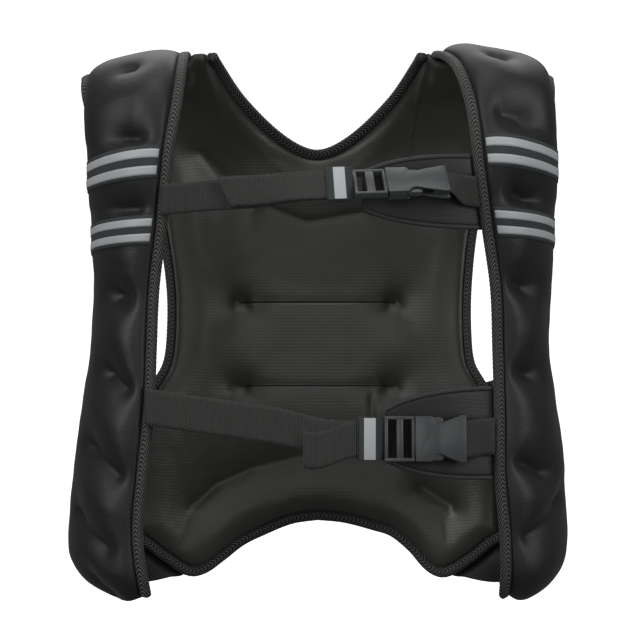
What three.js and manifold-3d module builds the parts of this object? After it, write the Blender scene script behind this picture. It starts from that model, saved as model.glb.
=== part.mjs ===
// Weighted vest: padded back panel, padded shoulder straps that wrap round the sides,
// braided edge bindings, reflective tapes and two chest straps with side release buckles.
// Millimetres, +Z up, the front faces -Y, the origin lies between the shoulder undersides.
import * as THREE from 'three';
import Module from 'manifold-3d';
import { mergeVertices } from 'three/addons/utils/BufferGeometryUtils.js';

const wasm = await Module();
wasm.setup();

// Overall form, which is the wearer's side of the vest
const vestWidth = 420;
const vestDepth = 244;
const frontRun = 346;
const archRise = 108;
const crestHeight = 20;
const formPower = 2.6;
const leanPower = 2.5;

// Padding and edges
const strapPadding = 20;
const strapEdge = 5;
const wingPadding = 9;
const backPadding = 14;
const backBulge = 5;
const backEdge = 4;
const padRounding = 26;
const bindingWidth = 8;
const bindingThick = 7;
const sideBindingWidth = 5;
const seamGap = 0.3;
const lapGap = 1.2;
const bindingGap = 0.7;
const wrapLift = 2.4;
const wingTurnFrom = 88;
const wingTurnTo = 118;
const wrapTurnFrom = 92;
const wrapTurnTo = 112;
const hemRounding = 4;
const strapEndRounding = 6;
const flatShare = 0.78;

// Back panel outline
const panelWidth = 330;
const neckWidth = 187;
const neckDepth = 80;
const neckPower = 1.62;
const neckRound = 0.12;
const shoulderRise = 6;
const neckRiseFrom = 0.75;

// Reflective tapes
const tapeWidth = 25;
const tapeThick = 0.8;
const tapeLift = 1.55;
const tapeFall = 10;
const stripeWidth = 6.5;
const stripeSpacing = 12.5;
const stripeThick = 0.6;
const tapeTrim = 0.02;
const stripeTrim = 0.03;

// Chest straps
const upperWebWidth = 25;
const lowerWebWidth = 30;
const webThick = 1.4;
const layerGap = 0.6;
const keeperWall = 1.2;
const keeperGap = 0.7;
const keeperSide = 1.3;
const keeperStripeWidth = 9.5;
const flapThick = 3;
const flapBindingWidth = 4;
const flapBindingThick = 4;
const flapLift = 0.4;
const flapPower = 2.4;
const flapBlunt = 0.12;
const anchorWidth = 7;
const webBlend = 60;
const webSettle = 9;
const tailLoose = 2;
const endDrop = 2;

// Side release buckles
const buckleThick = 9;
const socketWall = 1.8;
const slotWidth = 7;
const slotMargin = 3;
const buckleMargin = 3.5;
const buckleChamfer = 2;
const shoulderNotch = 5.5;
const buckleFit = 0.35;
const tongueShare = 0.6;
const hollowShare = 0.66;
const waistShare = 0.15;

const halfForm = vestWidth / 2 - 0.85 * strapPadding;
const halfDepth = vestDepth / 2 - strapPadding;
const springHeight = crestHeight - archRise;
const archQuarter = Math.PI / 4 * (halfDepth + archRise);
const crestRun = frontRun + archQuarter;
const hemHeight = springHeight - frontRun;

// Half widths of the form as shares of halfForm, and how deep its sections turn as shares of
// halfDepth. along runs from the hem, 0, to the shoulder crest, 1, in front and behind.
const formTable = [
  { along: 0.00, left: 0.865, right: 0.87, turnDepth: 1.00 },
  { along: 0.04, left: 0.965, right: 0.975, turnDepth: 1.00 },
  { along: 0.10, left: 0.995, right: 1.00, turnDepth: 1.00 },
  { along: 0.20, left: 0.966, right: 0.987, turnDepth: 1.00 },
  { along: 0.30, left: 0.93, right: 0.951, turnDepth: 1.00 },
  { along: 0.40, left: 0.889, right: 0.917, turnDepth: 1.00 },
  { along: 0.50, left: 0.876, right: 0.925, turnDepth: 1.00 },
  { along: 0.60, left: 0.891, right: 0.943, turnDepth: 1.00 },
  { along: 0.70, left: 0.925, right: 0.974, turnDepth: 0.96 },
  { along: 0.80, left: 0.974, right: 1.00, turnDepth: 0.78 },
  { along: 0.90, left: 1.03, right: 1.04, turnDepth: 0.54 },
  { along: 1.00, left: 1.073, right: 1.078, turnDepth: 0.42 },
];

// Inner edges of the straps, with their binding, as shares of half the vest's width
const innerTable = [
  { along: 0.00, left: 0.640, right: 0.712 },
  { along: 0.10, left: 0.670, right: 0.705 },
  { along: 0.20, left: 0.652, right: 0.684 },
  { along: 0.30, left: 0.626, right: 0.682 },
  { along: 0.40, left: 0.616, right: 0.676 },
  { along: 0.50, left: 0.605, right: 0.667 },
  { along: 0.60, left: 0.576, right: 0.633 },
  { along: 0.70, left: 0.555, right: 0.602 },
  { along: 0.80, left: 0.524, right: 0.576 },
  { along: 0.90, left: 0.514, right: 0.531 },
  { along: 1.00, left: 0.512, right: 0.467 },
  { along: 1.25, left: 0.505, right: 0.460 },
];

// Outer edge of the straps: the angle round the form, from straight ahead, where each ends.
// Low down it runs round to the back as the side wrap, under the armhole.
const outerTable = [
  { along: 0.00, turn: 150 },
  { along: 0.24, turn: 151 },
  { along: 0.285, turn: 148 },
  { along: 0.315, turn: 136 },
  { along: 0.335, turn: 118 },
  { along: 0.365, turn: 102 },
  { along: 0.42, turn: 95 },
  { along: 0.58, turn: 91 },
  { along: 0.65, turn: 87 },
  { along: 0.72, turn: 82 },
  { along: 0.82, turn: 76 },
  { along: 0.90, turn: 70 },
  { along: 1.00, turn: 65 },
  { along: 1.25, turn: 65 },
];
const strapEndAlong = 1.22;

// Fullness of the strap padding as shares of strapPadding, flattened over the shoulders
const fullTable = [
  { along: 0.00, left: 1.00, right: 1.00 },
  { along: 0.80, left: 1.00, right: 1.00 },
  { along: 0.92, left: 0.75, right: 0.95 },
  { along: 1.00, left: 0.50, right: 0.80 },
  { along: 1.25, left: 0.50, right: 0.70 },
];

// How far the strap's bottom edge rises round the form, as shares of frontRun
const bottomTable = [
  { turn: 0, rise: 0.004 },
  { turn: 60, rise: 0 },
  { turn: 76, rise: 0.028 },
  { turn: 92, rise: 0.05 },
  { turn: 116, rise: -0.008 },
  { turn: 138, rise: 0 },
  { turn: 152, rise: 0.03 },
];
const bottomReach = 0.2;

// Side edges of the back panel as shares of half its width
const panelTable = [
  { along: 0.00, left: 1.00, right: 1.00 },
  { along: 0.22, left: 0.99, right: 0.99 },
  { along: 0.30, left: 0.95, right: 0.96 },
  { along: 0.335, left: 0.87, right: 0.89 },
  { along: 0.37, left: 0.81, right: 0.83 },
  { along: 0.42, left: 0.788, right: 0.81 },
  { along: 0.50, left: 0.788, right: 0.81 },
  { along: 0.60, left: 0.83, right: 0.84 },
  { along: 0.70, left: 0.89, right: 0.90 },
  { along: 0.80, left: 0.97, right: 0.97 },
  { along: 1.00, left: 1.03, right: 1.03 },
];

// Bottom edge of the back panel: heights above the strap's hem as shares of frontRun
const hemTable = [
  { across: 0.00, left: 0.165, right: 0.165 },
  { across: 0.15, left: 0.154, right: 0.158 },
  { across: 0.31, left: 0.124, right: 0.139 },
  { across: 0.43, left: 0.096, right: 0.120 },
  { across: 0.54, left: 0.056, right: 0.078 },
  { across: 0.63, left: 0.026, right: 0.030 },
  { across: 0.70, left: 0.022, right: 0.018 },
  { across: 0.82, left: 0.060, right: 0.052 },
  { across: 0.93, left: 0.103, right: 0.098 },
  { across: 1.00, left: 0.125, right: 0.120 },
];

// Dents where the strap padding is stitched down: across is a share of half the vest's width,
// reach and depth are shares of strapPadding.
const strapDents = [
  { side: -1, along: 0.89, across: 0.738, reach: 0.55, depth: 0.55 },
  { side: -1, along: 0.735, across: 0.705, reach: 0.65, depth: 0.6 },
  { side: -1, along: 0.626, across: 0.70, reach: 0.6, depth: 0.6 },
  { side: -1, along: 0.49, across: 0.74, reach: 0.65, depth: 0.65 },
  { side: -1, along: 0.354, across: 0.75, reach: 0.7, depth: 0.65 },
  { side: -1, along: 0.231, across: 0.845, reach: 0.7, depth: 0.65 },
  { side: -1, along: 0.113, across: 0.85, reach: 0.7, depth: 0.6 },
  { side: 1, along: 0.94, across: 0.74, reach: 0.55, depth: 0.55 },
  { side: 1, along: 0.768, across: 0.76, reach: 0.65, depth: 0.6 },
  { side: 1, along: 0.645, across: 0.77, reach: 0.6, depth: 0.6 },
  { side: 1, along: 0.507, across: 0.77, reach: 0.65, depth: 0.65 },
  { side: 1, along: 0.364, across: 0.785, reach: 0.7, depth: 0.65 },
  { side: 1, along: 0.223, across: 0.81, reach: 0.7, depth: 0.65 },
  { side: 1, along: 0.107, across: 0.85, reach: 0.7, depth: 0.6 },
];

// Quilting of the back panel: rows of stitches from one place to another. Places are shares
// of half the vest's width and of crestRun, reach and depth are shares of backPadding.
const panelCreases = [
  { from: -0.33, to: 0.31, alongFrom: 0.475, alongTo: 0.475, reach: 0.65, depth: 0.5 },
  { from: -0.33, to: 0.32, alongFrom: 0.325, alongTo: 0.325, reach: 0.65, depth: 0.5 },
  { from: -0.53, to: -0.08, alongFrom: 0.10, alongTo: 0.20, reach: 0.8, depth: 0.5 },
  { from: 0.46, to: 0.56, alongFrom: 0.135, alongTo: 0.105, reach: 0.8, depth: 0.5 },
];

// Reflective tapes: the height of each on the strap as a share of crestRun
const tapes = [
  { name: 'tape_left_upper', side: -1, along: 0.700 },
  { name: 'tape_left_lower', side: -1, along: 0.593 },
  { name: 'tape_right_upper', side: 1, along: 0.717 },
  { name: 'tape_right_lower', side: 1, along: 0.606 },
];

// Chest straps. Places across are shares of half the vest's width, rises are heights above
// the hem as shares of frontRun, lengths of the keeper and of the buckle's halves are shares of
// the webbing's width, and tilt is how far the buckle leans back, in degrees.
const chestStraps = [
  {
    name: 'upper', webWidth: upperWebWidth, tilt: 50, tailFrom: -0.35, tailRise: 0.006,
    keeper: 0.078, keeperLong: 0.84, prongs: 0.132, prongsLong: 1.08, socketLong: 2,
    flapFrom: 0.19, flapTop: 1.044, flapBottom: 0.884, flapTip: 0.964,
    line: [
      { across: -0.60, rise: 0.946 },
      { across: -0.15, rise: 0.962 },
      { across: 0.08, rise: 0.967 },
      { across: 0.20, rise: 0.977 },
      { across: 0.38, rise: 0.979 },
      { across: 0.62, rise: 0.964 },
    ],
  },
  {
    name: 'lower', webWidth: lowerWebWidth, tilt: 5, tailFrom: -0.056, tailRise: -0.04,
    keeper: 0.192, keeperLong: 0.6, prongs: 0.25, prongsLong: 0.85, socketLong: 1.4,
    flapFrom: 0.262, flapTop: 0.494, flapBottom: 0.289, flapTip: 0.389,
    line: [
      { across: -0.66, rise: 0.455 },
      { across: -0.22, rise: 0.418 },
      { across: 0.09, rise: 0.390 },
      { across: 0.25, rise: 0.383 },
      { across: 0.37, rise: 0.381 },
      { across: 0.50, rise: 0.381 },
      { across: 0.68, rise: 0.384 },
    ],
  },
];

// Mesh steps
const strapRows = 38;
const strapColumns = 12;
const panelRows = 17;
const neckColumns = 14;
const shoulderColumns = 6;
const flapSteps = 9;
const webSteps = 14;
const tailSteps = 9;
const endSteps = 5;
const anchorSteps = 3;

const sideName = (side) => (side < 0 ? 'left' : 'right');

// Smooth value of one column of a table at a place in its first column
function lookUp(table, column, place) {
  const key = Object.keys(table[0])[0];
  const last = table.length - 1;
  if (place <= table[0][key]) return table[0][column];
  if (place >= table[last][key]) return table[last][column];
  let i = 0;
  while (place > table[i + 1][key]) i += 1;
  const slopeAt = (k) => {
    const before = table[Math.max(0, k - 1)];
    const after = table[Math.min(last, k + 1)];
    return (after[column] - before[column]) / (after[key] - before[key]);
  };
  const step = table[i + 1][key] - table[i][key];
  const s = (place - table[i][key]) / step;
  const start = table[i][column];
  const end = table[i + 1][column];
  const pull = s * (1 - s) * step;
  const ease = s * s * (3 - 2 * s);
  return start + (end - start) * ease
    + pull * ((1 - s) * slopeAt(i) - s * slopeAt(i + 1));
}

function easeBetween(low, high, value) {
  return THREE.MathUtils.smoothstep(value, low, high);
}

// Rounded rise of padding with the distance from its edge, 0 to 1
function padRise(distance) {
  const q = 1 - THREE.MathUtils.clamp(distance / padRounding, 0, 1);
  return Math.sqrt(1 - q * q);
}

// The middle line of the form seen from the side: up the front, over the crest, down behind.
// ny and nz give the direction away from which its sections turn: level at the front and
// back, and upright at the crest.
function pathAt(run) {
  const behind = run > crestRun;
  const near = behind ? 2 * crestRun - run : run;
  const facing = behind ? 1 : -1;
  if (near <= frontRun) {
    return { y: facing * halfDepth, z: hemHeight + near, ny: facing, nz: 0, along: near / crestRun };
  }
  const share = (near - frontRun) / archQuarter;
  const turn = share * Math.PI / 2;
  const lean = Math.pow(share, leanPower) * Math.PI / 2;
  return {
    y: facing * halfDepth * Math.cos(turn),
    z: springHeight + archRise * Math.sin(turn),
    ny: facing * Math.cos(lean),
    nz: Math.sin(lean),
    along: near / crestRun,
  };
}

function formHalf(side, along) {
  return halfForm * lookUp(formTable, sideName(side), along);
}

// A point of the form at a run along the path and an angle round it
function formPoint(side, run, angle) {
  const place = pathAt(run);
  const across = Math.pow(Math.abs(Math.sin(angle)), 2 / formPower);
  const cosine = Math.cos(angle);
  const depth = halfDepth * lookUp(formTable, 'turnDepth', place.along)
    * (1 - Math.sign(cosine) * Math.pow(Math.abs(cosine), 2 / formPower));
  return new THREE.Vector3(
    side * formHalf(side, place.along) * across,
    place.y - depth * place.ny,
    place.z - depth * place.nz,
  );
}

// The angle round the form where its width is x
function angleAt(side, run, x) {
  const share = THREE.MathUtils.clamp(Math.abs(x) / formHalf(side, pathAt(run).along), 0, 1);
  return Math.asin(Math.pow(share, formPower / 2));
}

// A point of the form and its outward direction at x, in front or behind as run says
function faceAt(x, run, offset) {
  const at = (px, pr) => {
    const side = px < 0 ? -1 : 1;
    return formPoint(side, pr, angleAt(side, pr, px));
  };
  const point = at(x, run);
  const step = 0.5;
  const across = at(x + step, run).sub(at(x - step, run));
  const upward = at(x, run + step).sub(at(x, run - step));
  const normal = across.cross(upward).normalize();
  const middle = new THREE.Vector3(0, 0, Math.min(point.z, springHeight));
  if (normal.dot(point.clone().sub(middle)) < 0) normal.negate();
  return { point: point.addScaledVector(normal, offset), normal };
}

function chestFace(x, z, offset) {
  return faceAt(x, z - hemHeight, offset);
}

function innerEdge(side, along) {
  return vestWidth / 2 * lookUp(innerTable, sideName(side), along);
}

// The section of a strap at one run: evenly spaced points from its padding's inner edge out
function strapSection(side, run, columns) {
  const along = run / crestRun;
  const edge = side * innerEdge(side, along);
  const atEdge = formPoint(side, run, angleAt(side, run, edge));
  const slope = formPoint(side, run, angleAt(side, run, edge + side)).distanceTo(atEdge);
  const from = angleAt(side, run, edge + side * (bindingWidth + bindingGap) / slope);
  const to = THREE.MathUtils.degToRad(lookUp(outerTable, 'turn', along));
  const samples = 90;
  const angles = [];
  const lengths = [0];
  let previous = null;
  for (let i = 0; i <= samples; i += 1) {
    angles.push(from + (to - from) * i / samples);
    const point = formPoint(side, run, angles[i]);
    if (previous) lengths.push(lengths[i - 1] + point.distanceTo(previous));
    previous = point;
  }
  const total = lengths[samples];
  return columns.map((v) => {
    const target = THREE.MathUtils.clamp(v, 0, 1) * total;
    let i = 1;
    while (i < samples && lengths[i] < target) i += 1;
    const s = (target - lengths[i - 1]) / (lengths[i] - lengths[i - 1]);
    const angle = angles[i - 1] + (angles[i] - angles[i - 1]) * s;
    const rise = lookUp(bottomTable, 'rise', THREE.MathUtils.radToDeg(angle)) * frontRun;
    const fade = 1 - easeBetween(0, bottomReach, along);
    return { point: formPoint(side, run + rise * fade, angle), angle, length: target, total };
  });
}

function creaseDepth(point, list, size) {
  let depth = 0;
  for (const crease of list) {
    const nearest = crease.line.closestPointToPoint(point, true, new THREE.Vector3());
    const distance = nearest.distanceTo(point) / (crease.reach * size);
    depth = Math.max(depth, crease.depth * Math.exp(-distance * distance));
  }
  return depth;
}

const dentsOf = (side) => strapDents.filter((dent) => dent.side === side).map((dent) => {
  const run = dent.along * crestRun;
  const centre = formPoint(side, run, angleAt(side, run, dent.across * vestWidth / 2));
  return { ...dent, line: new THREE.Line3(centre, centre.clone().addScalar(0.01)) };
});

// Rows of the strap's grid: point, outward direction and padding thickness at each place
function strapGrid(side, runs, columns) {
  const dents = dentsOf(side);
  const bands = tapes.filter((tape) => tape.side === side).map((tape) => tape.along * crestRun);
  const end = strapEndAlong * crestRun;
  const step = 1;
  return runs.map((run) => {
    const row = strapSection(side, run, columns);
    const before = strapSection(side, run - step, columns);
    const after = strapSection(side, run + step, columns);
    const nudge = 0.01;
    const inward = strapSection(side, run, columns.map((v) => v - nudge));
    const outward = strapSection(side, run, columns.map((v) => v + nudge));
    return row.map((cell, j) => {
      const along = after[j].point.clone().sub(before[j].point);
      const across = outward[j].point.clone().sub(inward[j].point);
      const normal = across.clone().cross(along).normalize();
      if (side < 0) normal.negate();
      const endEdge = Math.min(run + hemRounding, end - run + strapEndRounding);
      const edge = Math.min(cell.length, cell.total - cell.length, endEdge);
      const degrees = THREE.MathUtils.radToDeg(cell.angle);
      const fullest = strapPadding * lookUp(fullTable, sideName(side), run / crestRun);
      const wing = easeBetween(wingTurnFrom, wingTurnTo, degrees);
      const full = THREE.MathUtils.lerp(fullest, wingPadding, wing);
      const toBand = Math.min(...bands.map((band) => Math.abs(run - band)));
      const inBand = toBand < tapeWidth * flatShare;
      const dent = inBand ? 0 : creaseDepth(cell.point, dents, strapPadding);
      const thick = strapEdge + (full - strapEdge) * padRise(edge) * (1 - dent);
      const lift = lapGap + wrapLift * easeBetween(wrapTurnFrom, wrapTurnTo, degrees);
      return { ...cell, normal, lift, thick };
    });
  });
}

function geometryOf(vertices, triangles) {
  const geometry = new THREE.BufferGeometry();
  const flat = [];
  vertices.forEach((v) => flat.push(v.x, v.y, v.z));
  geometry.setAttribute('position', new THREE.Float32BufferAttribute(flat, 3));
  let volume = 0;
  for (const [a, b, c] of triangles) {
    volume += vertices[a].dot(new THREE.Vector3().crossVectors(vertices[b], vertices[c]));
  }
  const faces = volume < 0 ? triangles.map(([a, b, c]) => [a, c, b]) : triangles;
  geometry.setIndex(faces.flat());
  geometry.computeVertexNormals();
  return geometry;
}

// A closed slab between two grids of points of the same size
function slab(outer, inner) {
  const rows = outer.length;
  const columns = outer[0].length;
  const vertices = [...outer.flat(), ...inner.flat()];
  const layer = rows * columns;
  const index = (i, j, under) => i * columns + j + (under ? layer : 0);
  const triangles = [];
  const quad = (a, b, c, d) => triangles.push([a, b, c], [a, c, d]);
  for (let i = 0; i + 1 < rows; i += 1) {
    for (let j = 0; j + 1 < columns; j += 1) {
      quad(index(i, j), index(i, j + 1), index(i + 1, j + 1), index(i + 1, j));
      quad(index(i, j, 1), index(i + 1, j, 1), index(i + 1, j + 1, 1), index(i, j + 1, 1));
    }
  }
  for (let j = 0; j + 1 < columns; j += 1) {
    const end = rows - 1;
    quad(index(0, j), index(0, j, 1), index(0, j + 1, 1), index(0, j + 1));
    quad(index(end, j), index(end, j + 1), index(end, j + 1, 1), index(end, j, 1));
  }
  for (let i = 0; i + 1 < rows; i += 1) {
    const end = columns - 1;
    quad(index(i, 0), index(i + 1, 0), index(i + 1, 0, 1), index(i, 0, 1));
    quad(index(i, end), index(i, end, 1), index(i + 1, end, 1), index(i + 1, end));
  }
  return geometryOf(vertices, triangles);
}

// A closed bar of flat section along stations { centre, out, normal }
function bar(stations, width, thick) {
  const corners = [[1, 1], [-1, 1], [-1, -1], [1, -1]];
  const sides = corners.length;
  const vertices = [];
  const triangles = [];
  stations.forEach((station) => {
    corners.forEach(([out, up]) => vertices.push(station.centre.clone()
      .addScaledVector(station.out, out * width / 2)
      .addScaledVector(station.normal, up * thick / 2)));
  });
  for (let i = 0; i + 1 < stations.length; i += 1) {
    for (let k = 0; k < sides; k += 1) {
      const next = (k + 1) % sides;
      const a = i * sides;
      const b = a + sides;
      triangles.push([a + k, a + next, b + next], [a + k, b + next, b + k]);
    }
  }
  const last = (stations.length - 1) * sides;
  triangles.push([0, 2, 1], [0, 3, 2], [last, last + 1, last + 2], [last, last + 2, last + 3]);
  return geometryOf(vertices, triangles);
}

// Stations beside an edge line of points with normals, set off to one side of it
function edgeStations(edge, offset, lift) {
  const last = edge.length - 1;
  return edge.map((item, i) => {
    const here = item.point;
    const ahead = edge[Math.min(last, i + 1)].point.clone().sub(edge[Math.min(last - 1, i)].point);
    const back = edge[Math.max(1, i)].point.clone().sub(edge[Math.max(0, i - 1)].point);
    const tangent = ahead.normalize().clone().add(back.normalize());
    const halfCosine = tangent.length() / 2;
    const out = tangent.cross(item.normal).normalize();
    const reach = Math.min(1 / halfCosine, 1.5);
    const centre = here.clone().addScaledVector(out, offset * reach)
      .addScaledVector(item.normal, lift + (item.lift ?? 0));
    return { centre, out: out.multiplyScalar(reach), normal: item.normal };
  });
}

const vest = new THREE.Group();
const materials = {
  neoprene: { color: 0x2a2a2a, roughness: 0.75, metalness: 0 },
  panel: { color: 0x32302c, roughness: 0.7, metalness: 0 },
  braid: { color: 0x1c1c1b, roughness: 0.8, metalness: 0 },
  tape: { color: 0x2d3436, roughness: 0.6, metalness: 0 },
  silver: { color: 0xa5aaac, roughness: 0.35, metalness: 0.2 },
  webbing: { color: 0x302f2d, roughness: 0.8, metalness: 0 },
  buckle: { color: 0x3a3f41, roughness: 0.4, metalness: 0 },
};

function add(name, geometry, slot, frame) {
  const mesh = new THREE.Mesh(geometry, new THREE.MeshStandardMaterial(materials[slot]));
  mesh.name = name;
  if (frame) mesh.applyMatrix4(frame);
  vest.add(mesh);
}

const evenly = (count, from, to) => Array.from(
  { length: count + 1 },
  (_, i) => from + (to - from) * i / count,
);
const offsetPoint = (cell, distance) => cell.point.clone().addScaledVector(cell.normal, distance);

// Padded straps with their side wraps, and the braided bindings of both edges
const strapFaces = {};
for (const side of [-1, 1]) {
  const runs = evenly(strapRows, 0, strapEndAlong * crestRun);
  const columns = evenly(strapColumns, 0, 1);
  const grid = strapGrid(side, runs, columns);
  const outer = grid.map((row) => row.map((cell) => offsetPoint(cell, cell.lift + cell.thick)));
  const inner = grid.map((row) => row.map((cell) => offsetPoint(cell, cell.lift)));
  strapFaces[sideName(side)] = { runs, columns, grid, outer };
  add(`strap_${sideName(side)}`, slab(outer, inner), 'neoprene');

  const setOff = bindingWidth / 2 + bindingGap;
  const innerLine = grid.map((row) => row[0]);
  const outerLine = grid.map((row) => row[strapColumns]);
  const inward = edgeStations(innerLine, -side * setOff, bindingThick / 2);
  add(`strap_binding_${sideName(side)}`, bar(inward, bindingWidth, bindingThick), 'braid');
  const outward = edgeStations(outerLine, side * setOff, bindingThick / 2);
  add(`armhole_binding_${sideName(side)}`, bar(outward, bindingWidth, bindingThick), 'braid');
}

// Back panel
const panelHalf = (side, along) => panelWidth / 2
  * lookUp(panelTable, sideName(side), along);

function hemRun(share) {
  return frontRun * lookUp(hemTable, sideName(share), Math.abs(share));
}

function neckRun(x) {
  const share = Math.abs(x) / (neckWidth / 2);
  if (share >= 1) return crestRun;
  const rise = (s) => Math.pow(Math.hypot(s, neckRound), neckPower) - Math.pow(neckRound, neckPower);
  const z = crestHeight - neckDepth * (1 - rise(share) / rise(1));
  const turn = Math.asin((z - springHeight) / archRise);
  return frontRun + archQuarter * turn / (Math.PI / 2);
}

// The run of the panel's top edge in one column, where the neck line crosses that column
function topRun(share) {
  const side = Math.sign(share);
  let run = crestRun;
  for (let i = 0; i < 30; i += 1) {
    run = 0.5 * run + 0.5 * neckRun(share * panelHalf(side, run / crestRun));
  }
  return run;
}

function panelCell(share, run) {
  const x = share * panelHalf(share, run / crestRun);
  return { x, run, share, ...faceAt(x, 2 * crestRun - run, 0) };
}

const creases = panelCreases.map((crease) => {
  const place = (across, along) => faceAt(across * vestWidth / 2, (2 - along) * crestRun, 0).point;
  const line = new THREE.Line3(
    place(crease.from, crease.alongFrom),
    place(crease.to, crease.alongTo),
  );
  return { ...crease, line };
});

const neckShare = neckWidth / 2 / panelHalf(1, 1);
const shoulderShares = evenly(shoulderColumns, neckShare, 1).slice(1);
const shares = [
  ...shoulderShares.map((share) => -share).reverse(),
  ...evenly(neckColumns, -neckShare, neckShare),
  ...shoulderShares,
];
const panel = evenly(panelRows, 0, 1).map((u) => shares.map((share) => {
  const run = THREE.MathUtils.lerp(hemRun(share), topRun(share), u);
  const cell = panelCell(share, run);
  const sideways = (1 - Math.abs(share)) * panelHalf(share, run / crestRun);
  const edge = Math.min(sideways, run - hemRun(share), topRun(share) - run);
  const dent = creaseDepth(cell.point, creases, backPadding);
  cell.thick = backEdge + (backPadding - backEdge) * padRise(edge) * (1 - dent);
  cell.bulge = backBulge * padRise(edge) * (1 - easeBetween(0.3, 0.5, Math.abs(share)));
  return cell;
}));
add('back_panel', slab(
  panel.map((row) => row.map((cell) => offsetPoint(cell, cell.bulge))),
  panel.map((row) => row.map((cell) => offsetPoint(cell, -cell.thick))),
), 'panel');

// Bindings of the panel lie flush with its outer face
const flush = -bindingThick / 2;
const setOff = bindingWidth / 2 + bindingGap;
const neckEdge = panel[panelRows].slice(shoulderColumns, -shoulderColumns);
const neckRise = neckEdge.map((cell) => ({
  ...cell,
  lift: shoulderRise * easeBetween(neckRiseFrom, 1, Math.abs(cell.x) / (neckWidth / 2)),
}));
const neckStations = edgeStations(neckRise, setOff, flush);
add('neck_binding', bar(neckStations, bindingWidth, bindingThick), 'braid');
const hemStations = edgeStations(panel[0], -setOff, flush);
add('hem_binding', bar(hemStations, bindingWidth, bindingThick), 'braid');
for (const side of [-1, 1]) {
  const sideEdge = panel.map((row) => row[side < 0 ? 0 : shares.length - 1]);
  const stations = edgeStations(sideEdge, -side * (sideBindingWidth / 2 + bindingGap), flush);
  add(`side_binding_${sideName(side)}`, bar(stations, sideBindingWidth, bindingThick), 'braid');
}

// Reflective tapes with two silver stripes each, bent over the padding
function bandOnStrap(side, run, offsets, lift, thick, trim) {
  const face = strapFaces[sideName(side)];
  const last = face.columns.length - 1;
  const columns = [trim, ...face.columns.slice(1, last), 1 - trim];
  const rows = offsets.map((offset) => columns.map((v) => {
    const down = run + offset - tapeFall * v * v;
    const row = face.runs.findIndex((value) => value > down) - 1;
    const up = (down - face.runs[row]) / (face.runs[row + 1] - face.runs[row]);
    const column = Math.min(last - 1, Math.floor(v * last));
    const across = v * last - column;
    const blend = (get) => {
      const low = get(row, column).clone().lerp(get(row, column + 1), across);
      const high = get(row + 1, column).clone().lerp(get(row + 1, column + 1), across);
      return low.lerp(high, up);
    };
    return {
      point: blend((i, j) => face.outer[i][j]),
      normal: blend((i, j) => face.grid[i][j].normal).normalize(),
    };
  }));
  return slab(
    rows.map((row) => row.map((cell) => offsetPoint(cell, lift + thick))),
    rows.map((row) => row.map((cell) => offsetPoint(cell, lift))),
  );
}

const stripeEdges = [1, -1].map((step) => [
  step * stripeSpacing / 2 - stripeWidth / 2,
  step * stripeSpacing / 2 + stripeWidth / 2,
]);
const tapeEdges = [-tapeWidth / 2, ...stripeEdges[1], ...stripeEdges[0], tapeWidth / 2];
for (const tape of tapes) {
  const run = tape.along * crestRun;
  const { name, side } = tape;
  add(name, bandOnStrap(side, run, tapeEdges, tapeLift, tapeThick, tapeTrim), 'tape');
  const stripeLift = tapeLift + tapeThick + 1.5 * seamGap;
  stripeEdges.forEach((edges, i) => {
    const stripe = bandOnStrap(side, run, edges, stripeLift, stripeThick, stripeTrim);
    add(`${name.replace('tape', 'stripe')}_${i + 1}`, stripe, 'silver');
  });
}

// Chest straps
const wireShape = (corners) => new THREE.Shape(corners.map(([x, y]) => new THREE.Vector2(x, y)));

function solidOf(geometry) {
  const plain = geometry.clone();
  plain.deleteAttribute('normal');
  plain.deleteAttribute('uv');
  const merged = mergeVertices(plain, 1e-4);
  return new wasm.Manifold(new wasm.Mesh({
    numProp: 3,
    vertProperties: new Float32Array(merged.attributes.position.array),
    triVerts: new Uint32Array(merged.index.array),
  }));
}

function geometryFrom(solid) {
  const mesh = solid.getMesh();
  const geometry = new THREE.BufferGeometry();
  geometry.setAttribute('position', new THREE.BufferAttribute(mesh.vertProperties, 3));
  geometry.setIndex(new THREE.BufferAttribute(mesh.triVerts, 1));
  geometry.computeVertexNormals();
  return geometry;
}

function block(x, y, z, length, height, thick) {
  return new THREE.BoxGeometry(length, height, thick).translate(x, y, z);
}

// Height of a chest strap's middle line at x
const lineHeight = (strap, x) => hemHeight
  + frontRun * lookUp(strap.line, 'rise', x / (vestWidth / 2));

// The inner edge of a shoulder strap's binding at a height
const strapEdgeAt = (side, z) => side * innerEdge(side, (z - hemHeight) / crestRun);

// Where a chest strap meets the left or right shoulder strap
function strapEnd(strap, side) {
  let x = side * vestWidth / 3;
  for (let i = 0; i < 20; i += 1) x = strapEdgeAt(side, lineHeight(strap, x));
  return x;
}

// A strip of webbing between two places; pointAt gives a point at x, a height and a lift
function strip(count, fromAt, toAt, pointAt, lift, width) {
  const steps = evenly(count, 0, 1);
  const heights = [-width / 2, width / 2];
  const grid = (extra) => steps.map((u) => heights.map(
    (h) => pointAt(THREE.MathUtils.lerp(fromAt(h), toAt(h), u), h, lift + extra),
  ));
  return slab(grid(webThick), grid(0));
}

// An upright frame on the form: x along the strap, y up, z outwards
function frameAt(strap, x, offset) {
  const face = chestFace(x, lineHeight(strap, x), offset);
  const ahead = chestFace(x + 1, lineHeight(strap, x + 1), offset).point;
  const along = ahead.sub(face.point).normalize();
  const up = face.normal.clone().cross(along).normalize();
  const out = along.clone().cross(up).normalize();
  return new THREE.Matrix4().makeBasis(along, up, out).setPosition(face.point);
}

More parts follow.
